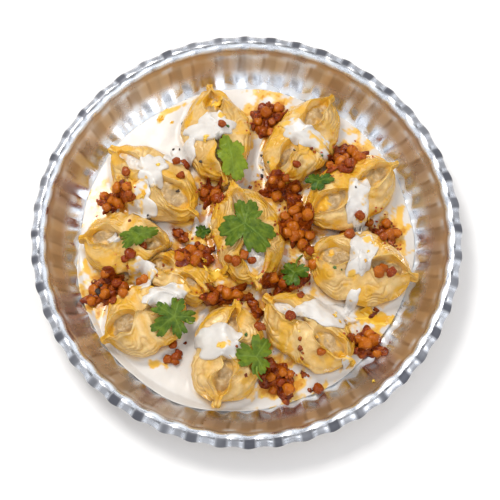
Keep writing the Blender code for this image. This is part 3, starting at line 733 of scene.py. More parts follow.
def manti_form(spec, seed, along):
    """One manti's section at places along it, from -1 at one tip to 1 at the other: side and level
    of its points, from the underside up over the right lip, down into the eye and back on the left,
    then the lip's height, and how far the whole manti bends. The belly is an ellipse along the
    manti, pinched at the waist, and each eye opens as a power of a sine."""
    _, _, _, length, width, height, _, _, eye_back, eye_front = spec
    rng = np.random.default_rng(seed)
    stations = np.linspace(-1.0, 1.0, FORM_RINGS)
    uneven = np.interp(along, stations, rng.uniform(-1, 1, FORM_RINGS))
    wobble = np.interp(along, stations, rng.uniform(-1, 1, FORM_RINGS))
    far = np.abs(along)
    belly = 0.5 * width * np.sqrt(np.clip(1.0 - (along / 0.9) ** 2, 0.0, 1.0))
    belly = belly * (1.0 - 0.07 * hill(along, 0.0, 0.2) + 0.03 * uneven)
    half = np.hypot(belly, TIP_THICKNESS * (1.3 - 0.3 * far))
    lip = height * blend(far, (0.0, 0.25, 0.5, 0.8, 1.0), (1.0, 0.92, 0.88, 0.74, 0.56)) + 0.5 * wobble
    base = TIP_LIFT * smooth_step((far - 0.72) / 0.28)
    rise = lip - base
    opening = np.sin(math.pi * np.clip((far - 0.1) / 0.74, 0.0, 1.0)) ** 0.7
    eye = EYE_SHARE * (SLIT + np.where(along < 0.0, eye_back, eye_front) * opening)
    rim = np.minimum(eye + DOUGH, 0.86 * half)
    eye = np.minimum(eye - LIP_ROLL, rim - 0.8)
    floor = lip - 0.09 * rise - 0.4 - EYE_DEPTH * opening
    right = (
        (0.70 * half, base),
        (half, base + 0.27 * rise),
        (np.maximum(0.84 * half, rim), base + 0.58 * rise),
        (rim, lip - 0.06 * rise),
        (0.5 * (rim + eye), lip),
        (0.85 * eye, floor),
    )
    middle = np.zeros_like(along)
    section = [(middle, base)] + list(right) + [(middle, floor - 0.3 * opening)]
    section += [(-side, level) for side, level in reversed(right)]
    side = np.stack([s for s, _ in section], axis=1)
    level = np.stack([z for _, z in section], axis=1)
    return side, level, lip, rng.uniform(-2.5, 2.5)


def place_manti(spec, bend, along, side, level):
    """Carries along, side and level of a manti to the dish, leaning and bending it on the way."""
    _, x0, y0, length, _, height, heading, lean, _, _ = spec
    side = side + lean * level / height * 2.0 + bend * (along ** 2 - 0.33)
    x, y = turned(along * 0.5 * length, side, heading, x0, y0)
    return np.stack([x, y, level + YOGURT_LEVEL + REST_GAP], axis=-1)


def press_back(points, normal, limit):
    """Moves points along the normal so that none passes the limit, softly and in order."""
    reach = points[..., :2] @ normal
    start = limit - SQUEEZE_SOFTNESS
    over = np.maximum(reach - start, 0.0)
    pressed = start + SQUEEZE_SOFTNESS * (1.0 - np.exp(-over / SQUEEZE_SOFTNESS))
    shift = np.where(over > 0.0, pressed - reach, 0.0)
    points[..., :2] += shift[..., None] * normal


def squeeze(points, planes, seed):
    """Presses one manti's points back from every plane that it shares with a neighbour."""
    for which, normal, limit in planes:
        if which == seed:
            press_back(points, normal, limit)


def squeeze_planes():
    """The upright planes between touching manti, in order: whose, which way, and how far. Each one
    stands across the direction in which the two overlap least, halfway between their sides."""
    along = np.linspace(-1.0, 1.0, FORM_RINGS)
    shapes = []
    for seed, spec in enumerate(MANTI):
        side, level, _, bend = manti_form(spec, seed, along)
        shapes.append(place_manti(spec, bend, along[:, None], side, level))
    directions = [np.array([math.cos(t), math.sin(t)]) for t in np.radians(np.arange(0, 360, 5))]
    planes = []
    for first in range(len(shapes)):
        for second in range(first + 1, len(shapes)):
            a, b = shapes[first][..., :2], shapes[second][..., :2]
            overlaps = [(a @ way).max() - (b @ way).min() for way in directions]
            if min(overlaps) < -2.0 * SQUEEZE_MARGIN:
                continue
            normal = directions[overlaps.index(min(overlaps))]
            plane = 0.5 * ((a @ normal).max() + (b @ normal).min())
            for which, way in ((first, 1.0), (second, -1.0)):
                planes.append((which, way * normal, way * plane - SQUEEZE_MARGIN))
                press_back(shapes[which], *planes[-1][1:])
    return planes


def ring_spline(count, steps):
    """Weights that carry a closed ring of count points to a smooth one, steps times finer: a cubic
    between each two points, with its slope there from the points on both sides."""
    t = np.arange(steps) / steps
    near = np.stack([-0.5 * t + t ** 2 - 0.5 * t ** 3, 1 - 2.5 * t ** 2 + 1.5 * t ** 3,
                     0.5 * t + 2 * t ** 2 - 1.5 * t ** 3, -0.5 * t ** 2 + 0.5 * t ** 3], axis=1)
    weights = np.zeros((count * steps, count))
    for index in range(count):
        for offset in range(4):
            weights[index * steps:(index + 1) * steps, (index + offset - 1) % count] += near[:, offset]
    return weights


def crest(value):
    """1 along sharp crests at whole numbers and -1 in the round valleys between them."""
    return 1.0 - 2.0 * (np.sin(math.pi * value) ** 2 + 0.004) ** 0.38


def pleats(along, section, rings, seed):
    """How far the dough stands out: folds that meet at the tips and the waist, layers along the
    lip, broad dents and small unevenness. section counts the form's points from the underside. Also
    how deep each crease lies and how sharp each ridge stands."""
    rng = np.random.default_rng(900 + seed)
    far = np.abs(along)
    mirrored = np.minimum(section, SECTION_POINTS - section)
    outer = smooth_step((mirrored - 0.8) / 0.8) * smooth_step((4.6 - mirrored) / 0.6)
    sway = 0.5 * ripple(rings, 18.0, seed)
    tip = smooth_step((far - 0.4) / 0.45)
    fold_tip = crest(0.95 * mirrored + 0.3 * sway + rng.uniform())
    waist = hill(along, 0.0, 0.3) * smooth_step((mirrored - 1.2) / 1.6)
    slant = rng.uniform(-0.12, 0.12)
    fold_waist = crest(along / 0.3 + slant * section + 0.3 * sway + rng.uniform())
    layer = smooth_step((mirrored - 2.2) / 0.6) * hill(far, 0.45, 0.3)
    fold_layer = crest(1.35 * mirrored + 0.7 * far + 0.4 * sway + rng.uniform())
    patchy = smooth_step(0.7 + 0.6 * ripple(rings, 24.0, seed + 50))
    unrolled = np.stack([along * 1.6, section, np.zeros_like(section)], axis=-1)
    grain = ripple(unrolled, 1.0, seed + 70)
    folds = 0.8 * tip * fold_tip + 0.8 * waist * fold_waist + 0.75 * layer * patchy * fold_layer
    out = (folds + 0.22 * grain + 0.6 * ripple(rings, 20.0, seed + 20)) * outer
    out += 0.08 * ripple(rings, 4.5, seed + 30)
    return out, np.clip(-folds, 0.0, 1.0) * outer, np.clip(folds, 0.0, 1.0) ** 2 * outer


def wave_lips(side, level, forward, seed):
    """Lets each lip wander sideways and up and down along its length, less and less at the tips."""
    line = np.stack([forward, np.zeros_like(forward)], axis=1)
    loose = np.clip(1.0 - (forward / np.abs(forward).max()) ** 6, 0.0, 1.0)
    for shift, (low, top) in enumerate(LIP_POINTS):
        sway = 1.1 * loose * ripple(line, 15.0, 600 + 2 * seed + shift)
        lift = 1.1 * loose * ripple(line, 12.0, 650 + 2 * seed + shift)
        side[:, [low, top]] += sway[:, None]
        level[:, [low, top]] += lift[:, None] * np.array([0.5, 1.0])


def dough_tones(rings, along, section, crease, ridge, seed):
    """The values painted on the dough: a painted highlight on the lips and the ridges of the folds, and
    painted shade inside the eyes and in the creases. oil lies in creases, on lips, at the tips and in
    patches washed down the sides, and stain is sauce from the heaps. ply counts fine layers of the
    dough that run along the lips and bend with the distance from the waist, and plied is where they show."""
    far = np.abs(along)
    mirrored = np.minimum(section, SECTION_POINTS - section)
    # Painted highlight along the lips and the folds' ridges.
    lip_highlight = hill(mirrored, LIP_STATION, 0.45) * smooth_step((far - 0.05) / 0.1)
    lip_highlight = np.maximum(lip_highlight, 0.8 * ridge)
    in_eye = smooth_step((far - 0.08) / 0.1) * smooth_step((0.95 - far) / 0.1)
    # Painted shade inside the eyes, and below in the creases.
    painted_shade = smooth_step((mirrored - 5.5) / 0.8) * in_eye
    oily = smooth_step(ripple(rings, 26.0, seed + 60) * 0.6 + 0.35)
    creased = oily * np.maximum(0.9 * crease, 0.8 * lip_highlight)
    low_side = smooth_step((3.4 - mirrored) / 1.2)
    washed = smooth_step(0.15 + 0.6 * ripple(rings, 19.0, seed + 80) + 0.35 * low_side + 0.5 * (far - 0.5))
    tip = smooth_step((far - 0.55) / 0.4) * smooth_step(0.7 + 0.5 * ripple(rings, 12.0, seed + 85))
    oil = np.maximum.reduce([stain_mask(rings, "oil"), creased, 0.8 * washed, 0.8 * tip])
    ply = mirrored + 0.7 * far + 0.25 * ripple(rings, 13.0, seed + 90)
    plied = smooth_step((mirrored - 1.4) / 0.8) * smooth_step((5.3 - mirrored) / 0.5)
    plied = plied * smooth_step(0.75 + 0.5 * ripple(rings, 22.0, seed + 95)) * smooth_step((far - 0.03) / 0.2)
    return {"lip_highlight": lip_highlight, "painted_shade": np.maximum(painted_shade, 0.35 * crease), "oil": oil,
            "stain": stain_mask(rings, "sauce"), "ply": ply, "plied": plied}


def make_manti(spec, seed, planes, material, relief):
    """One manti: fine rings along it, each a smooth closed line through the form's points, with
    rounded tips, pressed against its neighbours, then pleated along its normals."""
    name, length = spec[0], spec[3]
    inner = np.linspace(-1.0, 1.0, INNER_RINGS)
    cap = np.linspace(0.0, 1.0, CAP_RINGS + 1)[1:]
    closing = np.sqrt(1.0 - (CAP_CLOSING * cap) ** 2)
    shrink = np.concatenate([closing[::-1], np.ones(INNER_RINGS), closing])[:, None]
    along = np.concatenate([-np.ones(CAP_RINGS), inner, np.ones(CAP_RINGS)])
    reach = np.concatenate([-1.0 - CAP_LENGTH * cap[::-1], inner, 1.0 + CAP_LENGTH * cap])
    side, level, _, bend = manti_form(spec, seed, along)
    wave_lips(side, level, along * 0.5 * length, seed)
    weights = ring_spline(SECTION_POINTS, FINE)
    side, level = side @ weights.T * shrink, level @ weights.T
    middle = level.mean(axis=1, keepdims=True)
    level = middle + (level - middle) * shrink
    reach = np.broadcast_to(reach[:, None], side.shape)
    section = np.broadcast_to(np.arange(side.shape[1]) / FINE, side.shape)
    rings = place_manti(spec, bend, reach, side, level)
    squeeze(rings, planes, seed)
    out, crease, ridge = pleats(reach, section, rings, seed)
    rings = rings + normals_of(rings) * (out * shrink)[..., None]
    piece = Piece("dough_" + name[-2:])
    piece.add(rings, **dough_tones(rings, reach, section, crease, ridge, seed))
    build_piece(piece, material, [name])
    relief.lay(rings, 4)
    return bend


def add_filling(piece, spec, seed, bend, planes, end, is_yogurt):
    """A lumpy mound seen in one eye, a depth below the lip and a little wider than the eye, with a
    shallow side turned in under it. Oil stands round the brim of the minced filling."""
    way = np.linspace(0.05, 1.0, EYE_ROWS)[:, None]
    turns = circle(EYE_POINTS)
    along = end * EYE_MIDDLE + EYE_REACH * way * np.cos(turns)
    lip = manti_form(spec, seed, along.ravel())[2].reshape(along.shape)
    widest = spec[9] if end > 0 else spec[8]
    side = (EYE_SHARE * widest + 0.8) * way * np.sin(turns)
    depth = YOGURT_DEPTH if is_yogurt else FILLING_DEPTH
    level = lip - depth - 0.8 * way ** 2
    rings = place_manti(spec, bend, along, side, level)
    lump = 0.8 * ripple(rings, 9.0, seed + 40) + 0.3 * ripple(rings, 3.2, seed + 41)
    rings[..., 2] += lump * (1.0 - way ** 6)
    squeeze(rings, planes, seed)
    under = rings[::-5].copy()
    under[..., 2] -= 1.5
    rings = np.concatenate([rings, under])
    oil = stain_mask(rings, "oil")
    if not is_yogurt:
        out = np.concatenate([way, way[::-5]])
        brim = smooth_step(0.9 * out + 0.35 * ripple(rings, 9.0, seed + 43) - 0.45)
        oil = np.maximum(oil, 0.7 * brim)
    piece.add(rings, tone=0.5 + 0.25 * ripple(rings, 9.0, seed + 42), oil=oil, stain=0.0)
    return rings


def fill_eyes(bends, planes, filling, yogurt, relief):
    """What shows in the two eyes of every manti: minced filling, or yogurt that has run in."""
    stuffing = Piece("minced_filling")
    poured = Piece("yogurt_in_eyes")
    for seed, (spec, bend) in enumerate(zip(MANTI, bends)):
        for end in (-1.0, 1.0):
            is_yogurt = (spec[0], end) in YOGURT_EYES
            piece = poured if is_yogurt else stuffing
            relief.lay(add_filling(piece, spec, seed, bend, planes, end, is_yogurt), 4)
    build_piece(stuffing, filling)
    build_piece(poured, yogurt)


def yogurt_edge(turns):
    """Radius where the pool ends: a wavy line that climbs the wall on one side."""
    side = 0.5 + 0.5 * np.cos(turns - YOGURT_CLIMB_SIDE)
    waves = 0.9 * np.sin(3 * turns + 1.0) + 0.7 * np.sin(7 * turns + 2.5) + 0.4 * np.sin(13 * turns + 2.0)
    return YOGURT_EDGE + YOGURT_CLIMB * side ** 5 + waves


def make_pool(material, relief):
    """The pool: nearly level, drawn up where it meets the wall and the manti, thin at its edge. It is
    creamy with oil beside the manti, and soaked with sauce in patches near the dish's middle."""
    turns = circle(POOL_POINTS)
    edge = yogurt_edge(turns)
    way = np.concatenate([np.linspace(0.02, 0.86, 70), np.linspace(0.87, 1.0, 22)])[:, None]
    radius = edge * way
    x, y = radius * np.cos(turns), radius * np.sin(turns)
    wall = wall_height(radius + FLUTE_DEPTH)
    covered = blur((relief.top > YOGURT_LEVEL + 2.0).astype(float), 4)
    near = relief.at(x, y, covered)
    flat = np.stack([x, y, np.zeros_like(x)], axis=2)
    level = YOGURT_LEVEL - 0.3 + 0.22 * ripple(flat, 34.0, 5) + 0.12 * ripple(flat, 13.0, 6)
    level += 1.5 * smooth_step(near / 0.6) * smooth_step((0.95 - near) / 0.3)
    film = wall + 1.1 * np.sqrt(np.clip(1.0 - way ** 14, 0.0, 1.0)) - 0.25
    height = np.maximum(level, film)
    top = np.stack([x, y, height], axis=2)
    under = np.stack([x, y, wall - 0.3], axis=2)[::-12]
    under[..., 2] = np.minimum(under[..., 2], height[::-12] - 0.3)
    rings = np.concatenate([top, under])
    pool = Piece("yogurt_base")
    around = np.concatenate([near, near[::-12]])
    middle = smooth_step((SOAKED_RADIUS - np.hypot(rings[..., 0], rings[..., 1])) / 24.0)
    patches = smooth_step(0.6 * ripple(rings, 22.0, 8) + 0.5)
    creamy = (0.42 + 0.58 * middle) * smooth_step(around / 0.5) * patches
    soaked = middle * smooth_step(0.7 * ripple(rings, 13.0, 9) + 0.45)
    pool.add(rings, oil=np.maximum(stain_mask(rings, "oil"), creamy),
             stain=np.maximum(stain_mask(rings, "sauce"), soaked))
    build_piece(pool, material, ["yogurt_pool"])
    relief.lay(top, 4)


def draped(spec, seed, relief, ragged, profile, rise, sides=84, rows=26):
    """A wavy oval laid on the relief, as rings of its top and its underside: soft over small dips,
    sunk at its edge, and risen between as the root of one minus a power of the way out."""
    x, y, half_length, half_width, heading = spec
    rng = np.random.default_rng(seed)
    turns = circle(sides)
    phase = rng.uniform(0.0, TAU, 2)
    outline = 1.0 + 0.10 * np.sin(2 * turns + phase[0]) + 0.08 * np.sin(3 * turns + phase[1])
    for count in (4, 5, 7, 11):
        outline = outline + ragged / count * np.sin(count * turns + rng.uniform(0.0, TAU))
    way = np.linspace(0.03, 1.0, rows)[:, None] ** 0.8
    forward = way * outline * np.cos(turns) * half_length
    side = way * outline * np.sin(turns) * half_width
    px, py = turned(forward, side, heading, x, y)
    ground = relief.at(px, py, relief.fine)
    soft = relief.at(px, py, relief.soft)
    full = np.clip(1.0 - way ** profile, 0.0, 1.0) ** 0.5
    inner = smooth_step((1.0 - way) / 0.3)
    height = ground + (soft - ground) * inner - 0.5 * (1.0 - inner) + rise * full
    height = np.maximum(height, ground + 0.3 * inner - 0.6 * (1.0 - inner))
    top = np.stack([px, py, height], axis=2)
    under = np.stack([px, py, np.minimum(ground - 0.7, height - 0.4)], axis=2)[::-6]
    return top, under


def make_dollops(material, relief):
    """Each spoonful is its own piece: a soft mound with a swirl or two left by the spoon."""
    for seed, (name, x, y, half_length, half_width, heading, thickness) in enumerate(DOLLOPS):
        relief.soften(1.5)
        spec = (x, y, half_length * 1.05, half_width * 1.1, heading)
        top, under = draped(spec, 100 + seed, relief, ragged=0.4, profile=2.4, rise=0.75 * thickness)
        top[..., 2] += 0.3 * ripple(top, 9.0, 110 + seed) + 0.06 * ripple(top, 3.5, 130 + seed)
        rings = np.concatenate([top, under])
        piece = Piece("spoonful_" + name[-2:])
        piece.add(rings, oil=stain_mask(rings, "oil"), stain=0.7 * stain_mask(rings, "sauce"))
        build_piece(piece, material, [name])
        relief.lay(top)


def make_drips(material, relief):
    """Thin drips of yogurt beside the spoonfuls."""
    piece = Piece("yogurt_drips")
    relief.soften(1.0)
    for seed, (px, py, height, half_length, half_width, heading) in enumerate(DRIPS):
        spec = (*photo_place(px, py, height), half_length, half_width, heading)
        top, under = draped(spec, 180 + seed, relief, ragged=0.3, profile=2.4, rise=1.3, sides=48, rows=16)
        rings = np.concatenate([top, under])
        piece.add(rings, oil=stain_mask(rings, "oil"), stain=0.5 * stain_mask(rings, "sauce"))
        relief.lay(top)
    build_piece(piece, material)


def ball(centre, radii, seed, rows, around, rough, squarish=1.0):
    """A lump: a ball with three radii, turned at random, its skin pushed in and out a little."""
    rng = np.random.default_rng(seed)
    polar = np.linspace(POLE_GAP, math.pi - POLE_GAP, rows)[:, None]
    turns = circle(around)
    unit = np.stack([np.sin(polar) * np.cos(turns), np.sin(polar) * np.sin(turns),
                     np.broadcast_to(np.cos(polar), (rows, around))], axis=2)
    shaped = np.sign(unit) * np.abs(unit) ** squarish
    shaped = shaped * (1.0 + rough * ripple(unit * 3.0, 3.0, seed))[..., None]
    turn = np.array(Matrix.Rotation(rng.uniform(0, TAU), 3, "Z")
                    @ Matrix.Rotation(rng.normal(0.0, 0.35), 3, "X")
                    @ Matrix.Rotation(rng.uniform(0, TAU), 3, "Z"))
    return (shaped * np.array(radii)) @ turn.T + np.array(centre)


def add_pea(piece, x, y, radius, dark, seed, relief, sink):
    """A split pea: a flattened ball lying on the relief, with its own tone."""
    rng = np.random.default_rng(seed)
    thick = radius * rng.uniform(0.62, 0.85)
    height = float(relief.at(x, y)) + thick * (1.0 - sink)
    radii = (radius, radius * rng.uniform(0.8, 1.0), thick)
    rings = ball((x, y, height), radii, seed, rows=10, around=16, rough=0.10, squarish=0.9)
    piece.add(rings, tone=np.clip(dark + rng.uniform(-0.25, 0.25), 0.0, 1.0))
    return rings


def heap_peas(heap, spec, dark, seed, rng, relief):
    """Lays a heap's split peas, half sunk, on a spiral of golden angles: each one lies at a radius
    that grows as the root of its number, then moved a little at random."""
    count = int((PEAS_PER_AREA - PEAS_LOST_TO_DARK * dark) * spec[2] * spec[3])
    if dark > SLICE_DARK:
        count = SLICE_PEAS
    laid = []
    for index in range(count):
        px, py = in_oval(spec, 0.95 * math.sqrt((index + 0.4) / count), index * GOLDEN_ANGLE + seed)
        px += rng.uniform(-1.8, 1.8)
        py += rng.uniform(-1.8, 1.8)
        radius = PEA_RADIUS * rng.uniform(0.72, 1.08)
        tone = rng.uniform(0.4, 0.9) if rng.uniform() < 0.7 * dark else rng.uniform(0.0, 0.35)
        laid.append(add_pea(heap, px, py, radius, tone, 3000 + 40 * seed + index, relief, sink=0.6))
    return laid


def heap_bits(mound, spec, seed, rng, relief):
    """Strews soft bits of sauce evenly over a heap and a little past its edge."""
    for index in range(int(BITS_PER_AREA * spec[2] * spec[3])):
        angle = rng.uniform(0.0, TAU)
        px, py = in_oval(spec, 1.12 * math.sqrt(rng.uniform()), angle)
        size = rng.uniform(0.7, 1.7)
        centre = (px, py, float(relief.at(px, py)) + 0.2 * size)
        radii = (size, size * rng.uniform(0.5, 0.9), size * 0.5)
        bit = ball(centre, radii, 6000 + 50 * seed + index, rows=7, around=10, rough=0.2)
        mound.add(bit, tone=rng.uniform(0.0, 1.0))


def make_heaps(sauce, pea, relief):
    """Each heap: a lumpy mound of sauce, with split peas half sunk in it and soft bits."""
    for seed, (name, x, y, half_length, half_width, heading, dark) in enumerate(HEAPS):
        rng = np.random.default_rng(400 + seed)
        relief.soften(1.5)
        spec = (x, y, half_length * 1.05, half_width * 1.1, heading)
        top, under = draped(spec, 200 + seed, relief, ragged=0.7, profile=2.2, rise=3.2)
        top[..., 2] += 0.6 * ripple(top, 6.0, 210 + seed) + 0.3 * ripple(top, 2.6, 230 + seed)
        rings = np.concatenate([top, under])
        mound = Piece("sauce_" + name[-2:])
        tone = 0.3 + 0.4 * dark + 0.35 * ripple(rings, 7.0, 240 + seed)
        mound.add(rings, tone=np.clip(tone, 0.0, 1.0))
        relief.lay(top)
        heap = Piece("split_" + name)
        spec = (x, y, half_length, half_width, heading)
        laid = heap_peas(heap, spec, dark, seed, rng, relief)
        if dark <= SLICE_DARK:
            heap_bits(mound, spec, seed, rng, relief)
        for rings in laid:
            relief.lay(rings, 2)
        build_piece(mound, sauce, [name])
        build_piece(heap, pea)


def make_single_peas(pea, relief):
    """Peas that lie apart, on the dough and the yogurt."""
    piece = Piece("scattered_split_peas")
    laid = []
    for index, (px, py, height, dark) in enumerate(SINGLE_PEAS):
        rng = np.random.default_rng(700 + index)
        x, y = photo_place(px, py, height)
        radius = PEA_RADIUS * rng.uniform(0.68, 1.0)
        laid.append(add_pea(piece, x, y, radius, dark, 5000 + index, relief, sink=0.35))
    for rings in laid:
        relief.lay(rings, 2)
    build_piece(piece, pea)


def make_sauce_bits(sauce, relief):
    """Flat soft bits of sauce that fell beside the heaps."""
    piece = Piece("sauce_bits")
    for index, (px, py, height, radius) in enumerate(SAUCE_BITS):
        x, y = photo_place(px, py, height)
        centre = (x, y, float(relief.at(x, y)) + 0.15 * radius)
        radii = (1.15 * radius, 0.85 * radius, 0.5 * radius)
        bit = ball(centre, radii, 8000 + index, rows=9, around=16, rough=0.22)
        piece.add(bit, tone=0.12 * (index % 4))
    build_piece(piece, sauce)


def make_oil(material, relief):
    """Thin lenses of yellow oil: drops, and longer pools where the stains on the yogurt are strong."""
    relief.soften(1.0)
    piece = Piece("oil_drops")
    lenses = [(*photo_place(px, py, height), radius, 0.85 * radius, 40.0 * index)
              for index, (px, py, height, radius) in enumerate(OIL_DROPS)]
    lenses += [(*photo_place(px, py, height), 0.8 * a * PIXEL_SIZE, 0.7 * b * PIXEL_SIZE, heading)
               for px, py, height, a, b, heading, strength in OIL_STAINS if strength >= POOL_STRENGTH]
    for seed, spec in enumerate(lenses):
        top, under = draped(spec, 500 + seed, relief, ragged=0.9, profile=5.0, rise=0.35, sides=40, rows=9)
        rings = np.concatenate([top, under])
        piece.add(rings, tone=0.5 + 0.4 * ripple(rings, 7.0, 540))
    build_piece(piece, material)


def leaf_outline(turns, lobes, notch, uneven):
    """Radius of a coriander leaf: broad fans parted by narrow gaps, no two of a length, each fan cut
    a little into three, and each of those into blunt teeth."""
    fan = 1.0 - notch * (1.0 - np.abs(np.cos(0.5 * lobes * turns))) ** 2.4
    cut = 1.0 - 0.26 * (1.0 - np.abs(np.cos(1.5 * lobes * turns + uneven))) ** 2.0
    tooth = 1.0 - 0.08 * (1.0 - np.abs(np.cos(13.5 * turns + 0.4))) ** 1.2
    sway = 1.0 + 0.12 * np.sin(turns + uneven) + 0.08 * np.sin(2.0 * turns + 3.0 * uneven)
    return fan * cut * tooth * sway


def make_leaf(spec, seed, material, relief):
    """A thin blade: rings out to the outline above, and back to the middle below. It lies on the
    relief but never steeper than a leaf bends, with a ripple, a lifted edge and sunken veins: a rib
    along each lobe and a herringbone between. Every third ring and fourth point hold it up."""
    name, x, y, radius, stretch, heading, lobes, light, notch = spec
    rng = np.random.default_rng(300 + seed)
    turns = circle(LARGE_LEAF_POINTS if radius > LARGE_LEAF else SMALL_LEAF_POINTS)
    way = np.linspace(0.04, 1.0, LEAF_ROWS)[:, None]
    outline = leaf_outline(turns, lobes, notch, rng.uniform(0.0, 6.0))
    reach = way * (way * outline + (1.0 - way) * outline.mean()) * radius
    forward, side = reach * np.cos(turns), reach * np.sin(turns) * stretch
    px, py = turned(forward, side, heading, x, y)
    ground = relief.at(px, py)
    thin = (slice(None, None, 3), slice(None, None, 4))
    gx, gy, gz = px[thin].ravel(), py[thin].ravel(), ground[thin].ravel()
    apart = np.hypot(px[..., None] - gx, py[..., None] - gy)
    rest = (gz - LEAF_SLOPE * apart).max(axis=-1)
    wave = 0.9 * (0.5 + 0.5 * np.sin(0.35 * forward + 0.5 * side + rng.uniform(0, 6)))
    lifted = 0.9 * way ** 3 * np.sin(5 * turns + seed)
    height = np.maximum(rest, ground + 0.1) + 0.5 + wave + lifted
    near_rib = np.abs(np.sin(0.5 * lobes * turns)) * 2.0 / lobes * reach
    rib = hill(near_rib, 0.0, 0.45) * smooth_step((1.05 - way) / 0.3)
    herring = np.abs(((reach * 0.5 - near_rib * 1.1) % 3.2) - 1.6)
    vein = np.maximum(rib, 0.55 * hill(herring, 0.0, 0.22) * smooth_step((0.98 - way) / 0.2))
    thickness = 0.45 * np.sqrt(1.0 - 0.9 * way ** 4)
    crinkle = ripple(np.stack([px, py, height], axis=2), 3.0, 320 + seed) * 0.10 * (1 - rib)
    top = np.stack([px, py, height + thickness - 0.22 * vein + crinkle], axis=2)
    low = np.stack([px, py, height + crinkle], axis=2)[::-1]
    piece = Piece("coriander_" + name[-2:])
    vein_both = np.concatenate([vein, vein[::-1]])
    below = np.concatenate([np.zeros_like(vein), np.ones_like(vein)])
    piece.add(np.concatenate([top, low]), vein=vein_both, below=below, light=light)
    build_piece(piece, material, [name])
    relief.lay(top, 2)


def add_stalk(piece, start, end, relief, seed):
    """A thin stalk between two photo pixels, lying on the relief with a slight bow: rings carried
    along the path, each one in the plane across it."""
    t = np.linspace(0.0, 1.0, STALK_RINGS)
    x0, y0 = photo_place(*start)
    x1, y1 = photo_place(*end)
    bow = 1.6 * np.sin(math.pi * t) * (1 if seed % 2 else -1)
    length = math.hypot(x1 - x0, y1 - y0)
    x = x0 + (x1 - x0) * t - bow * (y1 - y0) / length
    y = y0 + (y1 - y0) * t + bow * (x1 - x0) / length
    ground = relief.at(x, y)
    apart = np.abs(x[:, None] - x) + np.abs(y[:, None] - y)
    z = (ground[None, :] - 0.8 * apart).max(axis=1) + 0.9
    path = np.stack([x, y, z], axis=1)
    forward = np.gradient(path, axis=0)
    forward /= np.linalg.norm(forward, axis=1, keepdims=True)
    side = np.cross(forward, (0.0, 0.0, 1.0))
    side /= np.linalg.norm(side, axis=1, keepdims=True)
    up = np.cross(side, forward)
    turns = circle(STALK_POINTS)[..., None]
    radius = (STALK_RADIUS - 0.25 * t)[:, None, None]
    rings = path[:, None] + radius * (np.cos(turns) * side[:, None] + np.sin(turns) * up[:, None])
    piece.add(rings, vein=0.8, below=0.0, light=0.8)


def make_stalks(material, relief):
    """The stalks that show beside the leaves."""
    piece = Piece("coriander_stalks")
    for seed, (start, end) in enumerate(STALKS):
        add_stalk(piece, start, end, relief, seed)
    build_piece(piece, material)


def make_specks(pepper, herb, flake, relief):
    """Pepper, bits of herb and chilli flakes: tiny rough lumps lying on whatever is below. The flakes
    are strewn round heaps picked at random."""
    for name, places, material, slot in (("pepper_bits", PEPPER, pepper, "spiced_peas"),
                                         ("herb_bits", HERBS, herb, "coriander")):
        piece = Piece(name)
        for index, (px, py, height) in enumerate(places):
            rng = np.random.default_rng(8000 + index)
            x, y = photo_place(px, py, height)
            size = BLACK_BIT if index == 0 and places is PEPPER else rng.uniform(0.8, 1.5)
            centre = (x, y, float(relief.at(x, y)) + 0.25 * size)
            radii = (size, size * 0.7, size * 0.45)
            piece.add(ball(centre, radii, 8100 + index, rows=6, around=8, rough=0.2))
        build_piece(piece, material)
    rng = np.random.default_rng(77)
    piece = Piece("chilli_flakes")
    for index in range(FLAKES):
        heap = HEAPS[rng.integers(len(HEAPS))]
        far = rng.uniform(0.8, 1.7)
        x, y = in_oval(heap[1:6], far, rng.uniform(0.0, TAU))
        if math.hypot(x, y) > FLAKES_REACH:
            continue
        size = rng.uniform(0.4, 1.2)
        centre = (x, y, float(relief.at(x, y)) + 0.15 * size)
        radii = (size, size * 0.7, size * 0.35)
        lump = ball(centre, radii, 9000 + index, rows=4, around=6, rough=0.2)
        piece.add(lump, tone=rng.uniform(0.2, 1.0))
    build_piece(piece, flake)


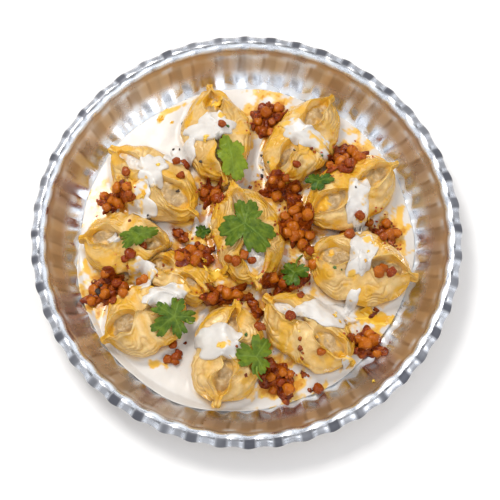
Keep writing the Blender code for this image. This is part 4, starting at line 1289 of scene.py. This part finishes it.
class Nodes:
    """Short ways to lay out one node tree."""

    def __init__(self, tree):
        self.tree = tree

    def add(self, kind, inputs=(), **settings):
        node = self.tree.nodes.new("ShaderNode" + kind)
        for key, value in settings.items():
            setattr(node, key, value)
        for key, value in dict(inputs).items():
            self.feed(node.inputs[key], value)
        return node

    def feed(self, socket, value):
        """Links an output to the socket, or sets the socket's own value."""
        if isinstance(value, bpy.types.NodeSocket):
            self.tree.links.new(value, socket)
        elif socket.type == "RGBA":
            socket.default_value = (*value, 1.0)
        else:
            socket.default_value = value

    def place(self):
        """The point on the piece, in metres."""
        return self.add("TexCoord").outputs["Object"]

    def value(self, name):
        """A value painted on the mesh's points."""
        return self.add("Attribute", attribute_name=name).outputs["Fac"]

    def noise(self, scale, detail=3.0, roughness=0.55, vector=None):
        """Soft noise from 0 to 1, with so many clouds to a metre."""
        node = self.add("TexNoise", {"Scale": scale, "Detail": detail, "Roughness": roughness})
        self.feed(node.inputs["Vector"], vector or self.place())
        return node.outputs["Fac"]

    def ramp(self, value, low, high):
        """0 at low and 1 at high, with an S curve between."""
        inputs = {"Value": value, "From Min": low, "From Max": high}
        return self.add("MapRange", inputs, interpolation_type="SMOOTHSTEP").outputs["Result"]

    def math(self, operation, a, b=0.0):
        node = self.add("Math", operation=operation)
        self.feed(node.inputs[0], a)
        self.feed(node.inputs[1], b)
        return node.outputs[0]

    def plus(self, a, b):
        return self.math("ADD", a, b)

    def minus(self, a, b):
        return self.math("SUBTRACT", a, b)

    def times(self, a, b):
        return self.math("MULTIPLY", a, b)

    def most(self, a, b):
        return self.math("MAXIMUM", a, b)

    def spread(self, value, strength):
        """A noise's value about its middle, from minus to plus half the strength."""
        return self.times(self.minus(value, 0.5), strength)

    def mix(self, share, a, b):
        """Colour a where the share is 0 and b where it is 1."""
        node = self.add("Mix", data_type="RGBA", blend_type="MIX")
        self.feed(node.inputs[0], share)
        self.feed(node.inputs[6], a)
        self.feed(node.inputs[7], b)
        return node.outputs[2]

    def bump(self, height, strength, distance):
        inputs = {"Height": height, "Strength": strength, "Distance": distance}
        return self.add("Bump", inputs).outputs["Normal"]

    def group(self, tree, **inputs):
        node = self.add("Group", node_tree=tree)
        for key, value in inputs.items():
            self.feed(node.inputs[key.replace("_", " ")], value)
        return node.outputs


def new_group(name, inputs, outputs):
    """An empty node group with named sockets, and a writer for what is inside it."""
    tree = bpy.data.node_groups.new(name, "ShaderNodeTree")
    kinds = {"colour": "NodeSocketColor", "value": "NodeSocketFloat"}
    for direction, sockets in (("INPUT", inputs), ("OUTPUT", outputs)):
        for label, kind in sockets:
            tree.interface.new_socket(label, in_out=direction, socket_type=kinds[kind])
    nodes = Nodes(tree)
    given = tree.nodes.new("NodeGroupInput").outputs
    return tree, nodes, given, tree.nodes.new("NodeGroupOutput").inputs


def oiling_group():
    """Yellow oil and red sauce over a base colour: deep where thick, and wet where there is either."""
    tree, n, given, out = new_group(
        "oil_and_sauce",
        [("Base", "colour"), ("Oil Colour", "colour"), ("Sauce Colour", "colour"), ("Oil", "value"),
         ("Sauce", "value")],
        [("Colour", "colour"), ("Wet", "value")])
    clumps = n.noise(260.0, 4.0, 0.6)
    fine = n.noise(900.0, 2.0, 0.5)
    oil = n.ramp(n.plus(given["Oil"], n.spread(clumps, 0.3)), 0.05, 0.95)
    sauce = n.ramp(n.plus(given["Sauce"], n.spread(clumps, 1.5)), 0.45, 1.0)
    specks = n.times(n.ramp(fine, 0.60, 0.68), n.ramp(given["Sauce"], 0.1, 0.6))
    colour = n.mix(n.times(oil, 0.92), given["Base"], given["Oil Colour"])
    colour = n.mix(n.times(n.most(sauce, specks), 0.75), colour, given["Sauce Colour"])
    n.feed(out["Colour"], colour)
    n.feed(out["Wet"], n.most(oil, sauce))
    return tree


def mottle_group():
    """Two colours mixed by soft clouds of one size, with finer grain over them."""
    tree, n, given, out = new_group(
        "mottle", [("Low", "colour"), ("High", "colour"), ("Scale", "value"), ("Grain", "value")],
        [("Colour", "colour"), ("Height", "value")])
    place = n.place()
    cloud = n.noise(given["Scale"], 4.0, 0.6, place)
    grain = n.noise(given["Grain"], 3.0, 0.5, place)
    share = n.ramp(n.plus(cloud, n.spread(grain, 0.35)), 0.32, 0.68)
    n.feed(out["Colour"], n.mix(share, given["Low"], given["High"]))
    n.feed(out["Height"], n.plus(cloud, n.times(grain, 0.4)))
    return tree


def new_material(name, **settings):
    """A Principled surface: its tree's writer and its shader, with plain values set on sockets."""
    made = bpy.data.materials.new(name)
    made.use_nodes = True
    n = Nodes(made.node_tree)
    shader = made.node_tree.nodes["Principled BSDF"]
    for key, value in settings.items():
        shader.inputs[key.replace("_", " ")].default_value = value
    return made, n, shader.inputs


def steel_material():
    """Polished pressed steel: a painted warm reflection where the wall turns in, cloudy, with fine brushed
    scratches, and toned by the values painted on it: painted dark reflections and shade on the blocks
    and flutes, painted brown reflections in panels, and painted highlights where it shines."""
    made, n, shader = new_material("polished_steel")
    place = n.place()
    shade_and_dark_reflection = n.value("shade_and_dark_reflection")
    parts = n.add("SeparateXYZ", {"Vector": place}).outputs
    radius = n.math("SQRT", n.plus(n.times(parts["X"], parts["X"]), n.times(parts["Y"], parts["Y"])))
    # A painted warm reflection on the wall above the floor, in clouds.
    wall = n.times(n.ramp(radius, *WARM_WALL_START), n.minus(1.0, n.ramp(radius, *WARM_WALL_END)))
    inside = n.ramp(parts["Z"], *ABOVE_FLOOR)
    clouds = n.noise(22.0, 3.0)
    warm_reflection = n.times(n.times(wall, inside), n.ramp(clouds, 0.2, 0.6))
    colour = n.mix(warm_reflection, STEEL, STEEL_WARM_REFLECTION)
    # Painted brown reflections in the panels.
    colour = n.mix(n.times(n.value("brown_reflection"), 0.8), colour, STEEL_BROWN_REFLECTION)
    # Painted highlights and pale reflections, broken by noise.
    painted_highlight = n.times(n.value("painted_highlight"), n.ramp(n.noise(120.0, 3.0), 0.2, 0.5))
    colour = n.mix(painted_highlight, colour, STEEL_PAINTED_HIGHLIGHT)
    # Painted shade and dark reflections on the rim's blocks and the flutes' shaded sides.
    colour = n.mix(shade_and_dark_reflection, colour, STEEL_SHADE_AND_DARK_REFLECTION)
    n.feed(shader["Base Color"], colour)
    streaks = n.add("Mapping", {"Vector": place, "Scale": (1.0, 1.0, 14.0)}).outputs["Vector"]
    scratch = n.noise(420.0, 5.0, 0.7, streaks)
    smudge = n.noise(60.0, 4.0, 0.6)
    upper_wall = n.times(n.ramp(radius, *UPPER_WALL), inside)
    rough = n.plus(0.10, n.times(n.ramp(smudge, 0.35, 0.7), 0.10))
    rough = n.plus(rough, n.times(n.times(upper_wall, warm_reflection), 0.20))
    rough = n.plus(rough, n.times(n.most(shade_and_dark_reflection, painted_highlight), 0.28))
    dull = n.most(n.most(shade_and_dark_reflection, painted_highlight), n.times(warm_reflection, 0.55))
    n.feed(shader["Metallic"], n.minus(1.0, n.times(dull, 0.6)))
    n.feed(shader["Roughness"], rough)
    n.feed(shader["Normal"], n.bump(n.plus(scratch, n.times(smudge, 2.0)), 0.12, 0.0004))
    return made


def dough_material(oiling, mottle):
    """Boiled dough: tan with floury streaks, a painted highlight on the lips, painted shade in the eyes and
    creases, wet where oiled. Its thin layers are the valleys of a sine of ply, in relief and in colour,
    where the valleys get painted shade."""
    made, n, shader = new_material("boiled_dough", Subsurface_Weight=0.18, Subsurface_Scale=0.004,
                                   Coat_Weight=0.3, Coat_Roughness=0.18)
    shader["Subsurface Radius"].default_value = (1.0, 0.55, 0.25)
    body = n.group(mottle, Low=DOUGH_TAN, High=DOUGH_LIGHT, Scale=70.0, Grain=500.0)
    # Painted shade inside the eyes and in the creases.
    colour = n.mix(n.times(n.value("painted_shade"), 0.7), body["Colour"], DOUGH_PAINTED_SHADE)
    floury = n.ramp(n.noise(140.0, 5.0, 0.7), 0.56, 0.72)
    colour = n.mix(n.times(floury, 0.3), colour, DOUGH_FLOURY)
    # Painted highlight on the lips and the folds' ridges.
    colour = n.mix(n.times(n.value("lip_highlight"), 0.6), colour, DOUGH_LIP_HIGHLIGHT)
    layers = n.plus(n.value("ply"), n.times(n.noise(60.0, 2.0), 0.5))
    layers = n.math("ABSOLUTE", n.math("SINE", n.times(layers, 8.0)))
    # Painted shade in the valleys between the thin layers, which are also bumped.
    valley_shade = n.times(n.math("POWER", n.minus(1.0, layers), 3.0), n.value("plied"))
    colour = n.mix(n.times(valley_shade, 0.75), colour, DOUGH_CREASE_SHADE)
    wet = n.group(oiling, Base=colour, Oil_Colour=DOUGH_OIL, Sauce_Colour=DOUGH_SAUCE,
                  Oil=n.value("oil"), Sauce=n.times(n.value("stain"), 0.75))
    n.feed(shader["Base Color"], wet["Colour"])
    n.feed(shader["Roughness"], n.minus(0.42, n.times(wet["Wet"], 0.22)))
    skin = n.plus(body["Height"], n.noise(330.0, 4.0, 0.6))
    skin = n.plus(skin, n.times(n.times(layers, n.value("plied")), 4.2))
    n.feed(shader["Normal"], n.bump(skin, 0.35, 0.0006))
    return made


def yogurt_material(oiling):
    """Yogurt: near white, faintly grey in places, smooth and moist, yellow where oil floats."""
    made, n, shader = new_material("yogurt", Subsurface_Weight=0.2, Subsurface_Scale=0.004)
    shader["Subsurface Radius"].default_value = (1.0, 0.85, 0.7)
    base = n.mix(n.ramp(n.noise(45.0, 3.0), 0.3, 0.7), YOGURT_GREY, YOGURT_WHITE)
    wet = n.group(oiling, Base=base, Oil_Colour=YOGURT_OIL, Sauce_Colour=YOGURT_SAUCE,
                  Oil=n.value("oil"), Sauce=n.value("stain"))
    n.feed(shader["Base Color"], wet["Colour"])
    n.feed(shader["Roughness"], n.minus(0.34, n.times(wet["Wet"], 0.18)))
    n.feed(shader["Normal"], n.bump(n.noise(240.0, 3.0), 0.2, 0.0005))
    return made


def pea_material():
    """Glazed split peas: orange to dark red by each pea's tone, with pale freckles of painted glint,
    under a thin wet coat.
    """
    made, n, shader = new_material("glazed_pea", Roughness=0.35, Coat_Weight=0.07, Coat_Roughness=0.08,
                                   Specular_IOR_Level=0.2)
    tone = n.value("tone")
    colour = n.mix(n.ramp(tone, 0.1, 0.9), PEA_ORANGE, PEA_RED)
    # Pale freckles: painted glints.
    glint_freckle = n.ramp(n.noise(1500.0, 2.0), 0.56, 0.66)
    colour = n.mix(n.times(glint_freckle, 0.5), colour, PEA_PAINTED_GLINT)
    cloud = n.ramp(n.noise(300.0, 3.0), 0.45, 0.7)
    colour = n.mix(n.times(cloud, 0.45), colour, PEA_CLOUD)
    n.feed(shader["Base Color"], colour)
    n.feed(shader["Normal"], n.bump(n.noise(900.0, 3.0), 0.35, 0.0004))
    return made


def sauce_material(mottle):
    """Tomato and chilli sauce with shreds of onion in it: dark red to orange, glossy and lumpy."""
    made, n, shader = new_material("chilli_sauce", Roughness=0.3, Coat_Weight=0.14, Coat_Roughness=0.06,
                                   Specular_IOR_Level=0.2)
    body = n.group(mottle, Low=SAUCE_DEEP, High=SAUCE_BRIGHT, Scale=260.0, Grain=1100.0)
    colour = n.mix(n.times(n.value("tone"), 0.55), body["Colour"], SAUCE_DARK)
    shred = n.ramp(n.noise(700.0, 4.0, 0.7), 0.60, 0.68)
    colour = n.mix(n.times(shred, 0.6), colour, SAUCE_SHRED)
    n.feed(shader["Base Color"], colour)
    n.feed(shader["Normal"], n.bump(n.plus(body["Height"], shred), 0.6, 0.0008))
    return made


def leaf_material():
    """Coriander: green by each leaf's lightness, mottled, with paler veins and a pale underside."""
    made, n, shader = new_material("coriander_leaf", Roughness=0.42, Specular_IOR_Level=0.25)
    light = n.value("light")
    cloud = n.ramp(n.noise(230.0, 4.0, 0.6), 0.3, 0.7)
    share = n.plus(n.times(light, 0.8), n.times(n.minus(cloud, 0.35), 0.45))
    colour = n.mix(share, LEAF_DARK, LEAF_LIGHT)
    colour = n.mix(n.times(n.value("vein"), 0.45), colour, LEAF_VEIN)
    colour = n.mix(n.times(n.value("below"), 0.5), colour, LEAF_BELOW)
    n.feed(shader["Base Color"], colour)
    n.feed(shader["Normal"], n.bump(n.noise(800.0, 3.0), 0.3, 0.0004))
    return made


def oil_material():
    """Yellow oil, deeper where the lens is thick, with a mirror-smooth skin."""
    made, n, shader = new_material("spiced_oil", Roughness=0.06, Coat_Weight=0.5, Coat_Roughness=0.03)
    tone = n.plus(n.value("tone"), n.spread(n.noise(400.0, 2.0), 0.6))
    n.feed(shader["Base Color"], n.mix(n.ramp(tone, 0.2, 0.9), OIL_THIN, OIL_DEEP))
    return made


def filling_material(oiling, mottle):
    """Moist minced filling: tan to grey-brown crumbs, golden where oil has run in."""
    made, n, shader = new_material("minced_filling", Roughness=0.4)
    body = n.group(mottle, Low=FILLING_BROWN, High=FILLING_TAN, Scale=160.0, Grain=900.0)
    colour = n.mix(n.times(n.value("tone"), 0.4), body["Colour"], FILLING_WARM)
    wet = n.group(oiling, Base=colour, Oil_Colour=FILLING_OIL, Sauce_Colour=FILLING_SAUCE,
                  Oil=n.value("oil"), Sauce=0.0)
    n.feed(shader["Base Color"], wet["Colour"])
    n.feed(shader["Normal"], n.bump(body["Height"], 0.4, 0.0007))
    return made


def speck_material(name, low, high):
    """Small dry bits in two shades."""
    made, n, shader = new_material(name, Roughness=0.55)
    n.feed(shader["Base Color"], n.mix(n.ramp(n.noise(1200.0, 2.0), 0.35, 0.65), low, high))
    return made


def make_camera():
    """The camera that sees the dish as the photograph does."""
    data = bpy.data.cameras.new("camera")
    data.sensor_width = SENSOR
    data.lens = LENS_PIXELS * SENSOR / PHOTO_SIZE
    data.clip_start = 0.01
    data.clip_end = 20.0
    camera = bpy.data.objects.new("camera", data)
    bpy.context.scene.collection.objects.link(camera)
    camera.matrix_world = Matrix.Translation(camera_place() * MM) @ camera_axes().to_4x4()
    bpy.context.scene.camera = camera


def make_light(name, place, size, power, colour):
    """One light, aimed at the dish."""
    data = bpy.data.lights.new(name, "AREA")
    data.size = size
    data.energy = power
    data.color = colour
    light = bpy.data.objects.new(name, data)
    light.location = place
    light.rotation_euler = (-Vector(place)).to_track_quat("-Z", "Y").to_euler()
    bpy.context.scene.collection.objects.link(light)


def make_world():
    """A pale room. Matt surfaces get even light; mirrors see bright walls with dark gaps, a warm
    band at the horizon and below, and a dim ceiling right above."""
    world = bpy.data.worlds.new("pale_room")
    bpy.context.scene.world = world
    world.use_nodes = True
    n = Nodes(world.node_tree)
    background = world.node_tree.nodes["Background"]
    direction = n.add("TexCoord").outputs["Generated"]
    height = n.add("SeparateXYZ", {"Vector": direction}).outputs["Z"]
    gaps = n.ramp(n.noise(6.0, 2.0, 0.5, direction), 0.52, 0.58)
    walls = n.mix(gaps, WALL_BRIGHT, WALL_GAP)
    low = n.mix(n.ramp(n.noise(4.0, 3.0, 0.6, direction), 0.4, 0.62), LOW_DARK, LOW_WARM)
    mirrored = n.mix(n.ramp(height, -0.04, 0.10), low, walls)
    mirrored = n.mix(n.ramp(height, 0.90, 0.97), mirrored, CEILING_DIM)
    path = n.add("LightPath").outputs
    seen = n.mix(path["Is Glossy Ray"], ROOM_EVEN, mirrored)
    n.feed(background.inputs["Color"], n.mix(path["Is Camera Ray"], seen, ROOM_SEEN))
    background.inputs["Strength"].default_value = ROOM_STRENGTH


def make_floor():
    """The plain pale floor, a wide sheet at the dish's foot."""
    mesh = bpy.data.meshes.new("floor")
    square = ((-1, -1), (1, -1), (1, 1), (-1, 1))
    corners = [(x * FLOOR_REACH, y * FLOOR_REACH, -FLOOR_DROP) for x, y in square]
    mesh.from_pydata(corners, [], [(0, 1, 2, 3)])
    made, n, shader = new_material("pale_floor", Roughness=0.7)
    n.feed(shader["Base Color"], n.mix(n.ramp(n.noise(3.0, 2.0), 0.3, 0.7), FLOOR_LOW, FLOOR_HIGH))
    mesh.materials.append(made)
    floor = bpy.data.objects.new("floor", mesh)
    bpy.context.scene.collection.objects.link(floor)


def main():
    """Camera, light and finishes, then the pieces from the dish up, each laid on those before it."""
    make_camera()
    make_world()
    make_floor()
    for light in LIGHTS:
        make_light(*light)
    oiling = oiling_group()
    mottle = mottle_group()
    yogurt = yogurt_material(oiling)
    pea = pea_material()
    sauce = sauce_material(mottle)
    leaf = leaf_material()
    dough = dough_material(oiling, mottle)
    filling = filling_material(oiling, mottle)

    relief = Relief()
    dish = make_dish(steel_material())
    planes = squeeze_planes()
    bends = [make_manti(spec, seed, planes, dough, relief) for seed, spec in enumerate(MANTI)]
    fill_eyes(bends, planes, filling, yogurt, relief)
    make_pool(yogurt, relief)
    relief.lay(dish, 2)
    make_dollops(yogurt, relief)
    make_drips(yogurt, relief)
    make_heaps(sauce, pea, relief)
    make_oil(oil_material(), relief)
    make_single_peas(pea, relief)
    make_sauce_bits(sauce, relief)
    pepper = speck_material("black_pepper", *PEPPER_COLOURS)
    herb = speck_material("chopped_herb", *HERB_COLOURS)
    flake = speck_material("chilli_flake", *FLAKE_COLOURS)
    make_specks(pepper, herb, flake, relief)
    for seed, spec in enumerate(LEAVES):
        make_leaf(spec, seed, leaf, relief)
    make_stalks(leaf, relief)


main()
bpy.context.scene.view_settings.view_transform = "Standard"
